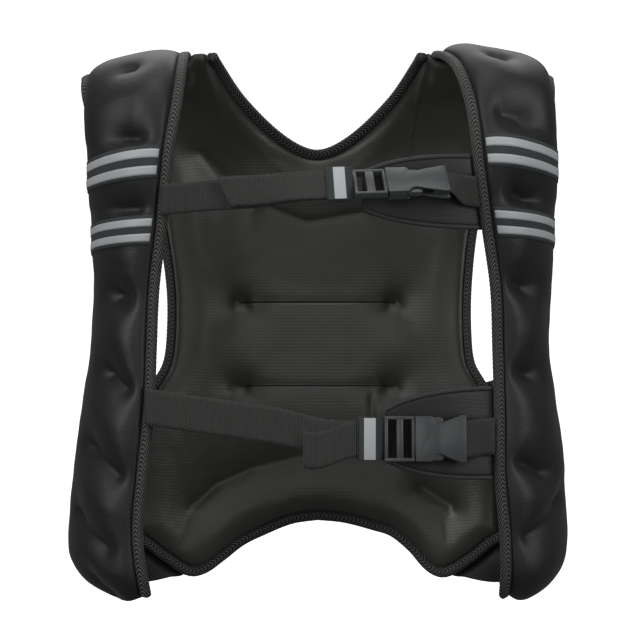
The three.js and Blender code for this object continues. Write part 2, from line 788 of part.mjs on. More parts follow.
// Male half: a plate with two webbing slots and a tapered tongue
function prongsGeometry(strap, height) {
  const lead = strap.prongsLong * strap.webWidth;
  const tongue = tongueShare * strap.socketLong * strap.webWidth;
  const edge = height / 2;
  const half = [[-lead, edge - buckleChamfer], [-lead + buckleChamfer, edge], [-buckleFit, edge],
    [-buckleFit, edge - shoulderNotch], [tongue * 0.85, edge - shoulderNotch - 1], [tongue, 0]];
  const mirrored = half.slice(0, -1).reverse().map(([x, y]) => [x, -y]);
  const thick = buckleThick - 2 * socketWall - 2 * buckleFit;
  const plate = new THREE.ExtrudeGeometry(
    wireShape([...half, ...mirrored].reverse()),
    { depth: thick, bevelEnabled: false },
  ).translate(0, 0, -thick / 2);
  let prongs = solidOf(plate);
  const inset = slotMargin + slotWidth / 2;
  [-lead + inset, -inset].forEach((at) => {
    prongs = prongs.subtract(solidOf(block(at, 0, 0, slotWidth, strap.webWidth + 1, buckleThick)));
  });
  return geometryFrom(prongs);
}

// Female half: a hollow body with waisted sides and a slot for its webbing
function socketGeometry(strap, height) {
  const long = strap.socketLong * strap.webWidth;
  const edge = height / 2;
  const waist = height * waistShare;
  const half = [[0, edge], [long * 0.34, edge], [long * 0.4, edge - waist],
    [long * 0.54, edge - waist], [long * 0.72, edge - waist * 0.5], [long * 0.9, edge],
    [long, edge - 1]];
  const mirrored = half.slice().reverse().map(([x, y]) => [x, -y]);
  const body = solidOf(new THREE.ExtrudeGeometry(
    wireShape([...half, ...mirrored].reverse()),
    { depth: buckleThick, bevelEnabled: false },
  ).translate(0, 0, -buckleThick / 2));
  const deep = long * hollowShare;
  const hollow = block(
    deep / 2 - 1, 0, 0, deep + 2, height - 5 * socketWall, buckleThick - 2 * socketWall,
  );
  const slotAt = long - slotMargin - slotWidth / 2;
  const slot = block(slotAt, 0, 0, slotWidth - 2, strap.webWidth, buckleThick + 2);
  return geometryFrom(body.subtract(solidOf(hollow)).subtract(solidOf(slot)));
}

// Flap behind a buckle: a rounded leaf that ends at the right strap's binding
function flapCell(strap, u, v, lift) {
  const heightOf = (share) => hemHeight + share * frontRun;
  const open = Math.sqrt(1 - Math.pow((1 - flapBlunt) * (1 - u), flapPower));
  const high = THREE.MathUtils.lerp(heightOf(strap.flapTip), heightOf(strap.flapTop), open);
  const low = THREE.MathUtils.lerp(heightOf(strap.flapTip), heightOf(strap.flapBottom), open);
  const z = THREE.MathUtils.lerp(low, high, v);
  const from = strap.flapFrom * vestWidth / 2;
  const x = THREE.MathUtils.lerp(from, strapEdgeAt(1, z) - 1.5 * seamGap, u);
  return chestFace(x, z, lift);
}

function addFlap(strap) {
  const steps = evenly(flapSteps, 0, 1).map((u) => u * u);
  const heights = evenly(4, 0, 1);
  const grid = (lift) => steps.map((u) => heights.map((v) => flapCell(strap, u, v, lift).point));
  add(`${strap.name}_flap`, slab(grid(flapLift + flapThick), grid(flapLift)), 'neoprene');
  const edge = [
    ...steps.slice().reverse().map((u) => flapCell(strap, u, 1, flapLift)),
    ...heights.slice(1, -1).reverse().map((v) => flapCell(strap, 0, v, flapLift)),
    ...steps.map((u) => flapCell(strap, u, 0, flapLift)),
  ];
  const stations = edgeStations(edge, flapBindingWidth / 2 + bindingGap, flapThick / 2);
  add(`${strap.name}_flap_binding`, bar(stations, flapBindingWidth, flapBindingThick), 'braid');
}

for (const strap of chestStraps) {
  const half = vestWidth / 2;
  const web = strap.webWidth;
  const height = web + 2 * buckleMargin;
  const lean = THREE.MathUtils.degToRad(strap.tilt);
  const anchorLift = lapGap + bindingThick + bindingGap;
  const buckleLift = flapLift + flapThick + 2 * seamGap
    + height / 2 * Math.sin(lean) + buckleThick / 2 * Math.cos(lean);
  const stack = 2 * webThick + layerGap;
  const keeperMiddle = strap.keeper * half;
  const keeperWidth = strap.keeperLong * web;
  const keeperStart = keeperMiddle - keeperWidth / 2;
  const prongsStart = strap.prongs * half;
  const middle = prongsStart + strap.prongsLong * web;
  const socketEnd = middle + strap.socketLong * web;
  const leftEnd = strapEnd(strap, -1);
  const rightEnd = strapEnd(strap, 1);

  // Frames in line with the buckle: x is measured from where its halves meet
  const upright = frameAt(strap, middle, buckleLift);
  const leaning = (share) => upright.clone()
    .multiply(new THREE.Matrix4().makeRotationX(-share * lean));
  const keeperLean = leaning(0.5);
  const buckleFrame = leaning(1);
  const inLine = (frame, x, h, lift) => new THREE.Vector3(x - middle, h, lift).applyMatrix4(frame);
  const onChest = (x, h, lift) => chestFace(x, lineHeight(strap, x) + h, lift).point;

  // Folded anchor over the left strap's binding, long webbing and its second layer
  const bendIn = (x) => easeBetween(keeperStart - webBlend, keeperStart - webSettle, x);
  const leftPoint = (x, h, lift) => onChest(x, h, anchorLift + lift)
    .lerp(inLine(keeperLean, x, h, lift - stack / 2), bendIn(x));
  const at = (x) => () => x;
  const anchor = strip(anchorSteps, at(leftEnd - anchorWidth), at(leftEnd), leftPoint, 0, web);
  add(`${strap.name}_anchor`, anchor, 'webbing');
  const webTo = at(prongsStart - 1.5 * seamGap);
  const long = strip(webSteps, at(leftEnd + 1.5 * seamGap), webTo, leftPoint, 0, web);
  add(`${strap.name}_webbing`, long, 'webbing');
  const tailFrom = strap.tailFrom * half;
  const tailPoint = (x, h, lift) => {
    const free = 1 - easeBetween(tailFrom, keeperStart - layerGap, x);
    return leftPoint(x, h + strap.tailRise * frontRun * free, lift + tailLoose * free);
  };
  const tail = strip(tailSteps, at(tailFrom), webTo, tailPoint, webThick + layerGap, web);
  add(`${strap.name}_tail`, tail, 'webbing');

  // Elastic keeper round both layers, with a silver stripe
  const keeperDepth = stack + 2 * keeperGap;
  const tall = web + 2 * keeperSide;
  const outside = block(0, 0, 0, keeperWidth, tall + 2 * keeperWall, keeperDepth + 2 * keeperWall);
  const inside = block(0, 0, 0, keeperWidth + 2, tall, keeperDepth);
  const ring = solidOf(outside).subtract(solidOf(inside));
  const keeperFrame = keeperLean.clone()
    .multiply(new THREE.Matrix4().makeTranslation(keeperMiddle - middle, 0, 0));
  add(`${strap.name}_keeper`, geometryFrom(ring), 'webbing', keeperFrame);
  const stripeZ = keeperDepth / 2 + keeperWall + seamGap + stripeThick / 2;
  const stripe = block(0, 0, stripeZ, keeperStripeWidth, tall + keeperWall, stripeThick);
  add(`${strap.name}_keeper_stripe`, stripe, 'silver', keeperFrame);

  // Buckle, the flap behind it, and the short webbing to the right strap
  add(`${strap.name}_prongs`, prongsGeometry(strap, height), 'buckle', buckleFrame);
  add(`${strap.name}_socket`, socketGeometry(strap, height), 'buckle', buckleFrame);
  addFlap(strap);
  const endFrom = socketEnd + seamGap;
  const endPoint = (x, h, lift) => inLine(buckleFrame, x, h, lift)
    .lerp(onChest(x, h, anchorLift - endDrop + lift), easeBetween(endFrom, rightEnd, x));
  const endTo = (h) => strapEdgeAt(1, lineHeight(strap, rightEnd) + h) - seamGap;
  const end = strip(endSteps, at(endFrom), endTo, endPoint, -webThick / 2, web);
  add(`${strap.name}_end_webbing`, end, 'webbing');
}

export default vest;
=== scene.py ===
# %% [markdown]
# # A weighted vest, finished around its solids
# The solids of the vest are the frame: they fix every size and place. In this lesson each
# solid gets the look of the real piece: padding that swells between its stitches, a braided
# edge, woven webbing, a moulded buckle. The first cell opens the frame and keeps its box.

# %% Open the frame
import math
from functools import lru_cache

import bmesh
import bpy
from mathutils import Matrix, Vector, noise
from mathutils.bvhtree import BVHTree


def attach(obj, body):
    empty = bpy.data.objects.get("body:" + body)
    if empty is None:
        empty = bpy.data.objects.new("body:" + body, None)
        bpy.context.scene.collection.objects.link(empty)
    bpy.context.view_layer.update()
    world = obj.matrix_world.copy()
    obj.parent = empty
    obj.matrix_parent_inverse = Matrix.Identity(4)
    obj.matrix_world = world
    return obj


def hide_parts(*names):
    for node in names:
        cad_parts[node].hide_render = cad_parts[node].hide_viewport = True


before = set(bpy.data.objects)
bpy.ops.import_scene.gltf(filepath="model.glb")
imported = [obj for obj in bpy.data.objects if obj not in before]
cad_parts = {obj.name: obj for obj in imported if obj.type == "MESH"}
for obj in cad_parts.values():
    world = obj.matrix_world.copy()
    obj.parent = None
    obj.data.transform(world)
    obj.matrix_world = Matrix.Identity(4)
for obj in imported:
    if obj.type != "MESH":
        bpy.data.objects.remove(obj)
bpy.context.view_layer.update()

# %% [markdown]
# ## The sizes
# The vest was cut from one pattern, so its pieces share their sizes. They are the same named
# sizes, in millimetres, as those of the solids. Everything is worked out in millimetres and
# made metres when a mesh is finished.

# %% Sizes of the vest
MM = 0.001
VEST_WIDTH, VEST_DEPTH = 420, 244
FRONT_RUN, ARCH_RISE, CREST_HEIGHT = 346, 108, 20
FORM_POWER, LEAN_POWER = 2.6, 2.5
STRAP_PADDING, STRAP_EDGE, WING_PADDING = 20, 5, 9
BACK_PADDING, BACK_BULGE, BACK_EDGE = 14, 5, 4
PAD_ROUNDING = 26
BINDING_WIDTH, BINDING_THICK, SIDE_BINDING_WIDTH = 8, 7, 5
LAP_GAP, BINDING_GAP, WRAP_LIFT = 1.2, 0.7, 2.4
WING_TURN, WRAP_TURN = (88, 118), (92, 112)
PANEL_WIDTH, NECK_WIDTH, NECK_DEPTH, NECK_POWER, SHOULDER_RISE = 330, 187, 80, 1.62, 6
NECK_ROUND = 0.12
UPPER_ROW, LOWER_ROW, ROW_REACH = 244, 169, 70
TAPE_WIDTH, TAPE_FALL = 25, 10
STRIPE_WIDTH, STRIPE_SPACING = 6.5, 12.5
TAPE_LIFT, TAPE_THICK, STRIPE_LIFT, STRIPE_THICK = .1, .7, .85, .25
WEB_THICK, LAYER_GAP, TAIL_LOOSE, WEB_BLEND, WEB_SETTLE = 1.4, 0.6, 2, 60, 9
KEEPER_WALL, KEEPER_GAP, KEEPER_SIDE, KEEPER_STRIPE = 1.2, 0.7, 1.3, 9.5
FLAP_THICK, FLAP_BINDING, FLAP_LIFT, FLAP_POWER, FLAP_BLUNT = 3, 4, 0.4, 2.4, 0.12
FLAP_EDGE_THICK, FLAP_UNDER, FLAP_DROP = 4, 4, 2.6
ANCHOR_WIDTH, FOLD_DROP, END_DROP = 7, 4.6, 2
BUCKLE_THICK, SOCKET_WALL, SLOT_WIDTH = 9, 1.8, 7
SLOT_MARGIN, BUCKLE_MARGIN, SHOULDER_NOTCH, BUCKLE_FIT = 3, 3.5, 5.5, 0.35
SEAM_GAP = 0.3
HALF_WIDTH = VEST_WIDTH / 2
HALF_FORM = HALF_WIDTH - 0.85 * STRAP_PADDING
HALF_DEPTH = VEST_DEPTH / 2 - STRAP_PADDING
SPRING = CREST_HEIGHT - ARCH_RISE
QUARTER = math.pi / 4 * (HALF_DEPTH + ARCH_RISE)
CREST_RUN = FRONT_RUN + QUARTER
HEM = SPRING - FRONT_RUN
STRAP_END = 1.22 * CREST_RUN
print("from hem to crest, along the front:", round(CREST_RUN), "mm")

# %% [markdown]
# ## The tables
# A pattern maker keeps a short table of widths at set heights, and draws a smooth line
# through them. The first number of each row is the place along the strap, from the hem, 0,
# to the top of the shoulder, 1. The others are for the left and the right side.

# %% Tables of the cut
FORM = [(0, .865, .87), (.04, .965, .975), (.1, .995, 1), (.2, .966, .987), (.3, .93, .951),
        (.4, .889, .917), (.5, .876, .925), (.6, .891, .943), (.7, .925, .974),
        (.8, .974, 1), (.9, 1.03, 1.04), (1, 1.073, 1.078)]
TURN_DEPTH = [(0, 1), (.1, 1), (.2, 1), (.3, 1), (.4, 1), (.5, 1), (.6, 1), (.7, .96), (.8, .78),
              (.9, .54), (1, .42)]
INNER = [(0, .64, .712), (.1, .67, .705), (.2, .652, .684), (.3, .626, .682), (.4, .616, .676),
         (.5, .605, .667), (.6, .576, .633), (.7, .555, .602), (.8, .524, .576),
         (.9, .514, .531), (1, .512, .467), (1.25, .505, .46)]
OUTER = [(0, 150), (.24, 151), (.285, 148), (.315, 136), (.335, 118), (.365, 102), (.42, 95),
         (.58, 91), (.65, 87), (.72, 82), (.82, 76), (.9, 70), (1, 65), (1.25, 65)]
FULL = [(0, 1, 1), (.8, 1, 1), (.92, .75, .95), (1, .5, .8), (1.25, .5, .7)]
BOTTOM = [(0, .004), (60, 0), (76, .028), (92, .05), (116, -.008), (138, 0), (152, .03)]
PANEL = [(0, 1, 1), (.22, .99, .99), (.3, .95, .96), (.335, .87, .89), (.37, .81, .83),
         (.42, .788, .81), (.5, .788, .81), (.6, .83, .84), (.7, .89, .9), (.8, .97, .97),
         (1, 1.03, 1.03)]
HEM_LINE = [(0, .165, .165), (.15, .154, .158), (.31, .124, .139), (.43, .096, .12),
            (.54, .056, .078), (.63, .026, .03), (.7, .022, .018), (.82, .06, .052),
            (.93, .103, .098), (1, .125, .12)]
TAPES = [("left_upper", -1, .7), ("left_lower", -1, .593), ("right_upper", 1, .717),
         ("right_lower", 1, .606)]


def look_up(table, place, side=-1):
    """The smooth value of a table at a place, from its left or right column"""
    column = 2 if side > 0 and len(table[0]) > 2 else 1
    if place <= table[0][0]:
        return table[0][column]
    if place >= table[-1][0]:
        return table[-1][column]
    i = max(k for k in range(len(table) - 1) if table[k][0] < place)

    def slope(k):
        a, b = table[max(0, k - 1)], table[min(len(table) - 1, k + 1)]
        return (b[column] - a[column]) / (b[0] - a[0])

    step = table[i + 1][0] - table[i][0]
    s = (place - table[i][0]) / step
    start, end = table[i][column], table[i + 1][column]
    pull = s * (1 - s) * step
    return (start + (end - start) * s * s * (3 - 2 * s)
            + pull * ((1 - s) * slope(i) - s * slope(i + 1)))


def ease(low, high, value):
    """0 below low, 1 above high and a smooth rise between them"""
    s = min(1, max(0, (value - low) / (high - low)))
    return s * s * (3 - 2 * s)


def mix(a, b, share):
    return a + (b - a) * share


print("half width at mid height, left:", round(HALF_FORM * look_up(FORM, 0.5, -1)), "mm")

# %% [markdown]
# ## The form that the vest is worn on
# A worn vest takes the shape of a body: straight at the front and the back, bent over the
# shoulders. Rather than a body, the script has a smooth surface, with a place on it for a
# run, which is the length from the hem over the shoulder, and an angle round it. All the
# cloth pieces are laid on that surface, so that they fit each other.

# %% Places on the form
def path_at(run):
    """The middle line from the side: up the front, over the crest, and down behind"""
    facing = 1 if run > CREST_RUN else -1
    near = 2 * CREST_RUN - run if run > CREST_RUN else run
    along = near / CREST_RUN
    if near <= FRONT_RUN:
        return facing * HALF_DEPTH, HEM + near, facing, 0, along
    share = (near - FRONT_RUN) / QUARTER
    turn, lean = share * math.pi / 2, share ** LEAN_POWER * math.pi / 2
    return (facing * HALF_DEPTH * math.cos(turn), SPRING + ARCH_RISE * math.sin(turn),
            facing * math.cos(lean), math.sin(lean), along)


@lru_cache(None)
def widths(along):
    return (HALF_FORM * look_up(FORM, along, -1), HALF_FORM * look_up(FORM, along, 1),
            HALF_DEPTH * look_up(TURN_DEPTH, along))


def form_point(side, run, angle):
    y, z, ny, nz, along = path_at(run)
    left, right, turn_depth = widths(along)
    cosine = math.cos(angle)
    reach = (right if side > 0 else left) * abs(math.sin(angle)) ** (2 / FORM_POWER)
    depth = turn_depth * (1 - math.copysign(abs(cosine) ** (2 / FORM_POWER), cosine))
    return Vector((side * reach, y - depth * ny, z - depth * nz))


def angle_at(side, run, x):
    left, right, _ = widths(path_at(run)[4])
    return math.asin(min(1, abs(x) / (right if side > 0 else left)) ** (FORM_POWER / 2))


def face_at(x, run, offset):
    """A point of the form at x, raised by offset, and its outward direction"""
    def at(px, pr):
        side = -1 if px < 0 else 1
        return form_point(side, pr, angle_at(side, pr, px))

    point = at(x, run)
    normal = (at(x + .5, run) - at(x - .5, run)).cross(at(x, run + .5) - at(x, run - .5))
    normal.normalize()
    if normal.dot(point - Vector((0, 0, min(point.z, SPRING)))) < 0:
        normal.negate()
    return point + normal * offset, normal


def inner_edge(side, along):
    return HALF_WIDTH * look_up(INNER, along, side)


@lru_cache(None)
def section(side, run):
    """Angles and lengths across a shoulder strap at one run, from its inner edge out"""
    along = run / CREST_RUN
    edge = side * inner_edge(side, along)
    at_edge = form_point(side, run, angle_at(side, run, edge))
    slope = (form_point(side, run, angle_at(side, run, edge + side)) - at_edge).length
    start = angle_at(side, run, edge + side * (BINDING_WIDTH + BINDING_GAP) / slope)
    end = math.radians(look_up(OUTER, along))
    angles = [mix(start, end, i / 90) for i in range(91)]
    points = [form_point(side, run, angle) for angle in angles]
    lengths = [0]
    for a, b in zip(points, points[1:]):
        lengths.append(lengths[-1] + (b - a).length)
    return angles, lengths


def strap_point(side, run, v):
    """Where a strap lies on the form: its point, its angle, and its lengths to both edges"""
    angles, lengths = section(side, round(run, 3))
    target = min(1, max(0, v)) * lengths[-1]
    i = min(89, max(0, int(v * 90)))
    while i > 0 and lengths[i] > target:
        i -= 1
    while i < 89 and lengths[i + 1] < target:
        i += 1
    s = (target - lengths[i]) / (lengths[i + 1] - lengths[i])
    angle = mix(angles[i], angles[i + 1], s)
    rise = look_up(BOTTOM, math.degrees(angle)) * FRONT_RUN
    fade = 1 - ease(0, 0.2, run / CREST_RUN)
    return form_point(side, run + rise * fade, angle), angle, target, lengths[-1] - target


def strap_frame(side, run, v):
    """A point on the strap's underside, its outward direction and how full the padding is"""
    point, angle, inward, outward = strap_point(side, run, v)
    low, high = max(0, v - .01), min(1, v + .01)
    across = strap_point(side, run, high)[0] - strap_point(side, run, low)[0]
    along = strap_point(side, run + 1, v)[0] - strap_point(side, run - 1, v)[0]
    normal = across.cross(along).normalized() * side
    degrees = math.degrees(angle)
    edge = min(inward, outward, run + 4, STRAP_END - run + 6)
    fullest = STRAP_PADDING * look_up(FULL, run / CREST_RUN, side)
    full = mix(fullest, WING_PADDING, ease(*WING_TURN, degrees))
    lift = LAP_GAP + WRAP_LIFT * ease(*WRAP_TURN, degrees)
    return point, normal, lift, full, edge, angle


def pad_rise(distance, rounding=PAD_ROUNDING):
    q = 1 - min(1, max(0, distance / rounding))
    return math.sqrt(1 - q * q)


print("strap, middle at mid height:", [round(c) for c in strap_frame(-1, 250, 0.5)[0]])

# %% [markdown]
# ## Patterns that several finishes share
# Knit, ribs and braid are too fine to model thread by thread all over. Each is made once as
# a group of shader nodes with named inputs, so that every finish can use it at its own
# scale. A group gives a mask of the raised threads. The finish uses it for colour and bump.

# %% Shader groups
def new_group(name, inputs):
    """An empty group with a Place input, the given values, and a Mask output"""
    group = bpy.data.node_groups.new(name, "ShaderNodeTree")
    group.interface.new_socket("Place", in_out="INPUT", socket_type="NodeSocketVector")
    for label, value in inputs:
        socket = group.interface.new_socket(label, in_out="INPUT", socket_type="NodeSocketFloat")
        socket.default_value = value
    group.interface.new_socket("Mask", in_out="OUTPUT", socket_type="NodeSocketFloat")
    return group, group.nodes.new("NodeGroupInput"), group.nodes.new("NodeGroupOutput")


def calculate(tree, operation, *values, clamp=False):
    """A Math node: each value is a number or the socket that it comes from"""
    node = tree.nodes.new("ShaderNodeMath")
    node.operation, node.use_clamp = operation, clamp
    for socket, value in zip(node.inputs, values):
        if isinstance(value, (int, float)):
            socket.default_value = value
        else:
            tree.links.new(value, socket)
    return node.outputs[0]


def mix_colours(tree, first, second, share):
    """A colour between two: each is three numbers or the socket that it comes from"""
    node = tree.nodes.new("ShaderNodeMix")
    node.data_type = "RGBA"
    for label, colour in (("A", first), ("B", second)):
        if isinstance(colour, tuple):
            node.inputs[label].default_value = (*colour, 1)
        else:
            tree.links.new(colour, node.inputs[label])
    tree.links.new(share, node.inputs["Factor"])
    return node.outputs["Result"]


def split(tree, place):
    node = tree.nodes.new("ShaderNodeSeparateXYZ")
    tree.links.new(place, node.inputs[0])
    return node.outputs


def wave(tree, value, pitch):
    """0 to 1 and back over each pitch, in metres"""
    turns = calculate(tree, "MULTIPLY", calculate(tree, "DIVIDE", value, pitch), math.tau)
    return calculate(tree, "MULTIPLY_ADD", calculate(tree, "SINE", turns), 0.5, 0.5)


def braid_group():
    """Herringbone threads: slanted one way on one half of the band, the other on the rest"""
    group, start, end = new_group("braid threads", [("Pitch", .0024), ("Slant", 1.0)])
    x, y, _ = split(group, start.outputs["Place"])
    halfway = calculate(group, "ABSOLUTE", y)
    slanted = calculate(group, "MULTIPLY_ADD", halfway, start.outputs["Slant"], x)
    rows = wave(group, slanted, start.outputs["Pitch"])
    group.links.new(calculate(group, "POWER", rows, 2.2), end.inputs["Mask"])
    return group


def rib_group():
    """Woven ribs across a band, each broken into short stitches along its length"""
    group, start, end = new_group("woven ribs", [("Rib", .0014), ("Stitch", .0011)])
    x, y, _ = split(group, start.outputs["Place"])
    ribs = wave(group, x, start.outputs["Rib"])
    stitches = wave(group, y, start.outputs["Stitch"])
    both = calculate(group, "MULTIPLY", ribs, calculate(group, "MULTIPLY_ADD", stitches, .45, .55))
    group.links.new(both, end.inputs["Mask"])
    return group


def knit_group():
    """The fine knit that covers foam rubber: faint ribs and a little unevenness"""
    group, start, end = new_group("fine knit", [("Pitch", .0012), ("Uneven", .5)])
    _, _, z = split(group, start.outputs["Place"])
    rows = wave(group, z, start.outputs["Pitch"])
    grain = group.nodes.new("ShaderNodeTexNoise")
    grain.inputs["Scale"].default_value = 900
    grain.inputs["Detail"].default_value = 2
    group.links.new(start.outputs["Place"], grain.inputs["Vector"])
    mixed = calculate(group, "MULTIPLY", grain.outputs["Fac"], start.outputs["Uneven"])
    calm = calculate(group, "SUBTRACT", 1.0, start.outputs["Uneven"])
    total = calculate(group, "MULTIPLY_ADD", rows, calm, mixed)
    group.links.new(total, end.inputs["Mask"])
    return group


def wear_group():
    """Slow cloudy change over a surface, from dust and handling"""
    group, start, end = new_group("cloudy wear", [("Scale", 9.0)])
    clouds = group.nodes.new("ShaderNodeTexNoise")
    clouds.inputs["Detail"].default_value = 4
    group.links.new(start.outputs["Place"], clouds.inputs["Vector"])
    group.links.new(start.outputs["Scale"], clouds.inputs["Scale"])
    group.links.new(clouds.outputs["Fac"], end.inputs["Mask"])
    return group


def row_group():
    """Two level rows of stitches, a reach to each side of the middle, as a thin line each"""
    group, start, end = new_group("sewn rows", [("Upper", .04), ("Lower", -.03), ("Reach", .07),
                                                ("Width", .0014)])
    x, _, z = split(group, start.outputs["Place"])
    near = [calculate(group, "ABSOLUTE", calculate(group, "SUBTRACT", z, start.outputs[label]))
            for label in ("Upper", "Lower")]
    nearest = calculate(group, "MINIMUM", *near)
    away = calculate(group, "DIVIDE", nearest, start.outputs["Width"])
    line = calculate(group, "SUBTRACT", 1.0, away, clamp=True)
    spread = calculate(group, "ABSOLUTE", x)
    within = calculate(group, "LESS_THAN", spread, start.outputs["Reach"])
    group.links.new(calculate(group, "MULTIPLY", line, within), end.inputs["Mask"])
    return group


GROUPS = {"braid": braid_group(), "rib": rib_group(), "knit": knit_group(), "wear": wear_group(),
          "rows": row_group()}
print("shader groups:", [group.name for group in GROUPS.values()])

# %% [markdown]
# ## The finishes
# Each finish is a Principled shader. A pattern drives its colour and the height of a bump,
# and slow clouds drive its roughness. The foam rubber covers have a soft sheen, the braid is
# matt black cotton, the tape is grey blue, and the buckle is moulded plastic with a fine
# spark eroded grain.

# %% Finishes
def finish(name, dark, light, rough, pattern=None, values=None, height=0.0, source="Object",
           rough_range=0.08, sheen=0.0, specular=0.5, coat=0.0, metal=0.0, wear_scale=9.0):
    """A material whose pattern mixes two colours and makes a bump of that height in metres"""
    material = bpy.data.materials.new(name)
    material.use_nodes = True
    tree = material.node_tree
    shader = tree.nodes["Principled BSDF"]
    shader.inputs["Sheen Weight"].default_value = sheen
    shader.inputs["Sheen Roughness"].default_value = 0.5
    shader.inputs["Specular IOR Level"].default_value = specular
    shader.inputs["Coat Weight"].default_value = coat
    shader.inputs["Metallic"].default_value = metal
    place = tree.nodes.new("ShaderNodeTexCoord")
    wear = tree.nodes.new("ShaderNodeGroup")
    wear.node_tree = GROUPS["wear"]
    wear.inputs["Scale"].default_value = wear_scale
    tree.links.new(place.outputs["Object"], wear.inputs["Place"])
    low = rough - rough_range
    roughness = calculate(tree, "MULTIPLY_ADD", wear.outputs["Mask"], 2 * rough_range, low)
    tree.links.new(roughness, shader.inputs["Roughness"])
    if pattern is None:
        colour = mix_colours(tree, dark, light, wear.outputs["Mask"])
        tree.links.new(colour, shader.inputs["Base Color"])
        return material
    threads = tree.nodes.new("ShaderNodeGroup")
    threads.node_tree = GROUPS[pattern]
    for label, value in (values or {}).items():
        threads.inputs[label].default_value = value
    tree.links.new(place.outputs[source], threads.inputs["Place"])
    colour = mix_colours(tree, dark, light, threads.outputs["Mask"])
    tree.links.new(colour, shader.inputs["Base Color"])
    bump = tree.nodes.new("ShaderNodeBump")
    bump.inputs["Distance"].default_value = height
    tree.links.new(threads.outputs["Mask"], bump.inputs["Height"])
    tree.links.new(bump.outputs["Normal"], shader.inputs["Normal"])
    return material


def sew_rows(material, upper, lower, reach):
    """Presses two rows of stitches into a finish, and darkens them"""
    tree = material.node_tree
    shader = tree.nodes["Principled BSDF"]
    place = tree.nodes.new("ShaderNodeTexCoord")
    rows = tree.nodes.new("ShaderNodeGroup")
    rows.node_tree = GROUPS["rows"]
    for label, value in (("Upper", upper), ("Lower", lower), ("Reach", reach)):
        rows.inputs[label].default_value = value * MM
    tree.links.new(place.outputs["Object"], rows.inputs["Place"])
    cloth = shader.inputs["Base Color"].links[0].from_socket
    share = calculate(tree, "MULTIPLY", rows.outputs["Mask"], .8)
    colour = mix_colours(tree, cloth, (.006, .006, .005), share)
    tree.links.new(colour, shader.inputs["Base Color"])
    bump = tree.nodes.new("ShaderNodeBump")
    bump.inputs["Distance"].default_value = -.0012
    tree.links.new(rows.outputs["Mask"], bump.inputs["Height"])
    tree.links.new(shader.inputs["Normal"].links[0].from_socket, bump.inputs["Normal"])
    tree.links.new(bump.outputs["Normal"], shader.inputs["Normal"])


NEOPRENE = finish("strap cover", (.0045, .0045, .0044), (.0065, .0065, .0063), .5, "knit",
                  {"Pitch": .0011, "Uneven": .6}, .00012, sheen=.05, specular=.44)
PANEL_CLOTH = finish("panel lining", (.022, .0215, .0165), (.030, .029, .0225), .37, "knit",
                     {"Pitch": .0013, "Uneven": .45}, .00012, sheen=.12, specular=.6)
sew_rows(PANEL_CLOTH, HEM + UPPER_ROW, HEM + LOWER_ROW, ROW_REACH)


def paint_shade_in_hollows(material, reach):
    """Deep stitches get painted shade: where ambient occlusion finds a hollow, the base colour is
    darkened and the cloth made duller than the open cloth
    """
    tree = material.node_tree
    shader = tree.nodes["Principled BSDF"]
    hollow = tree.nodes.new("ShaderNodeAmbientOcclusion")
    hollow.inputs["Distance"].default_value = reach * MM
    hollow.samples = 8
    open_share = calculate(tree, "POWER", hollow.outputs["AO"], 2.2)
    cloth = shader.inputs["Base Color"].links[0].from_socket
    # painted shade: near black mixed into the base colour where the hollow is deep
    colour = mix_colours(tree, (.001, .001, .001), cloth, open_share)
    tree.links.new(colour, shader.inputs["Base Color"])
    roughness = shader.inputs["Roughness"].links[0].from_socket
    dull = calculate(tree, "SUBTRACT", 1.0, open_share)
    tree.links.new(calculate(tree, "MAXIMUM", roughness, dull), shader.inputs["Roughness"])


# painted shade in the stitched hollows of the straps and the panel
paint_shade_in_hollows(NEOPRENE, 16)
paint_shade_in_hollows(PANEL_CLOTH, 14)
BRAID = finish("braid", (.003, .003, .003), (.13, .127, .12), .62, "braid",
               {"Pitch": .0036, "Slant": 1.2}, .0008, "UV", sheen=.05, specular=.35)
TAPE = finish("tape", (.017, .023, .025), (.030, .038, .041), .62, "rib",
              {"Rib": .0012, "Stitch": .0012}, .0002, "UV", sheen=.05)
BINDING_CLOTH = finish("plain binding", (.010, .010, .010), (.022, .022, .021), .6, "rib",
                       {"Rib": .0012, "Stitch": .001}, .0001, "UV", sheen=.05)
SILVER = finish("silver film", (.36, .375, .385), (.46, .48, .49), .45, "rib",
                {"Rib": .001, "Stitch": .001}, .00004, "UV", specular=.5, metal=.0)
WEBBING = finish("webbing", (.008, .008, .007), (.046, .044, .041), .62, "rib",
                 {"Rib": .0017, "Stitch": .0011}, .0006, "UV", sheen=.05)
BUCKLE = finish("buckle plastic", (.030, .034, .036), (.038, .043, .045), .36, None,
                rough_range=.05, specular=.55, wear_scale=40)
print("finishes:", [material.name for material in bpy.data.materials])

# %% [markdown]
# ## Making a piece
# Every piece goes the same way: its mesh is finished in millimetres, made metres, given its
# finish, and tied to the frame. It says which solid it stands for, so that solid is hidden.

# %% Helpers for meshes
def make_piece(name, mesh, material, nodes, smooth=True):
    """The object of a finished mesh, which stands for the named solids"""
    bmesh.ops.scale(mesh, vec=(MM, MM, MM), verts=mesh.verts)
    data = bpy.data.meshes.new(name)
    mesh.to_mesh(data)
    mesh.free()
    data.materials.append(material)
    data.polygons.foreach_set("use_smooth", [smooth] * len(data.polygons))
    piece = bpy.data.objects.new(name, data)
    bpy.context.scene.collection.objects.link(piece)
    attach(piece, "root")
    if nodes:
        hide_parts(*nodes)
    return piece


def smooth_more(piece, levels=1):
    """A live subdivision, the same in the view and the render"""
    modifier = piece.modifiers.new("smooth", "SUBSURF")
    modifier.levels = modifier.render_levels = levels
    return piece


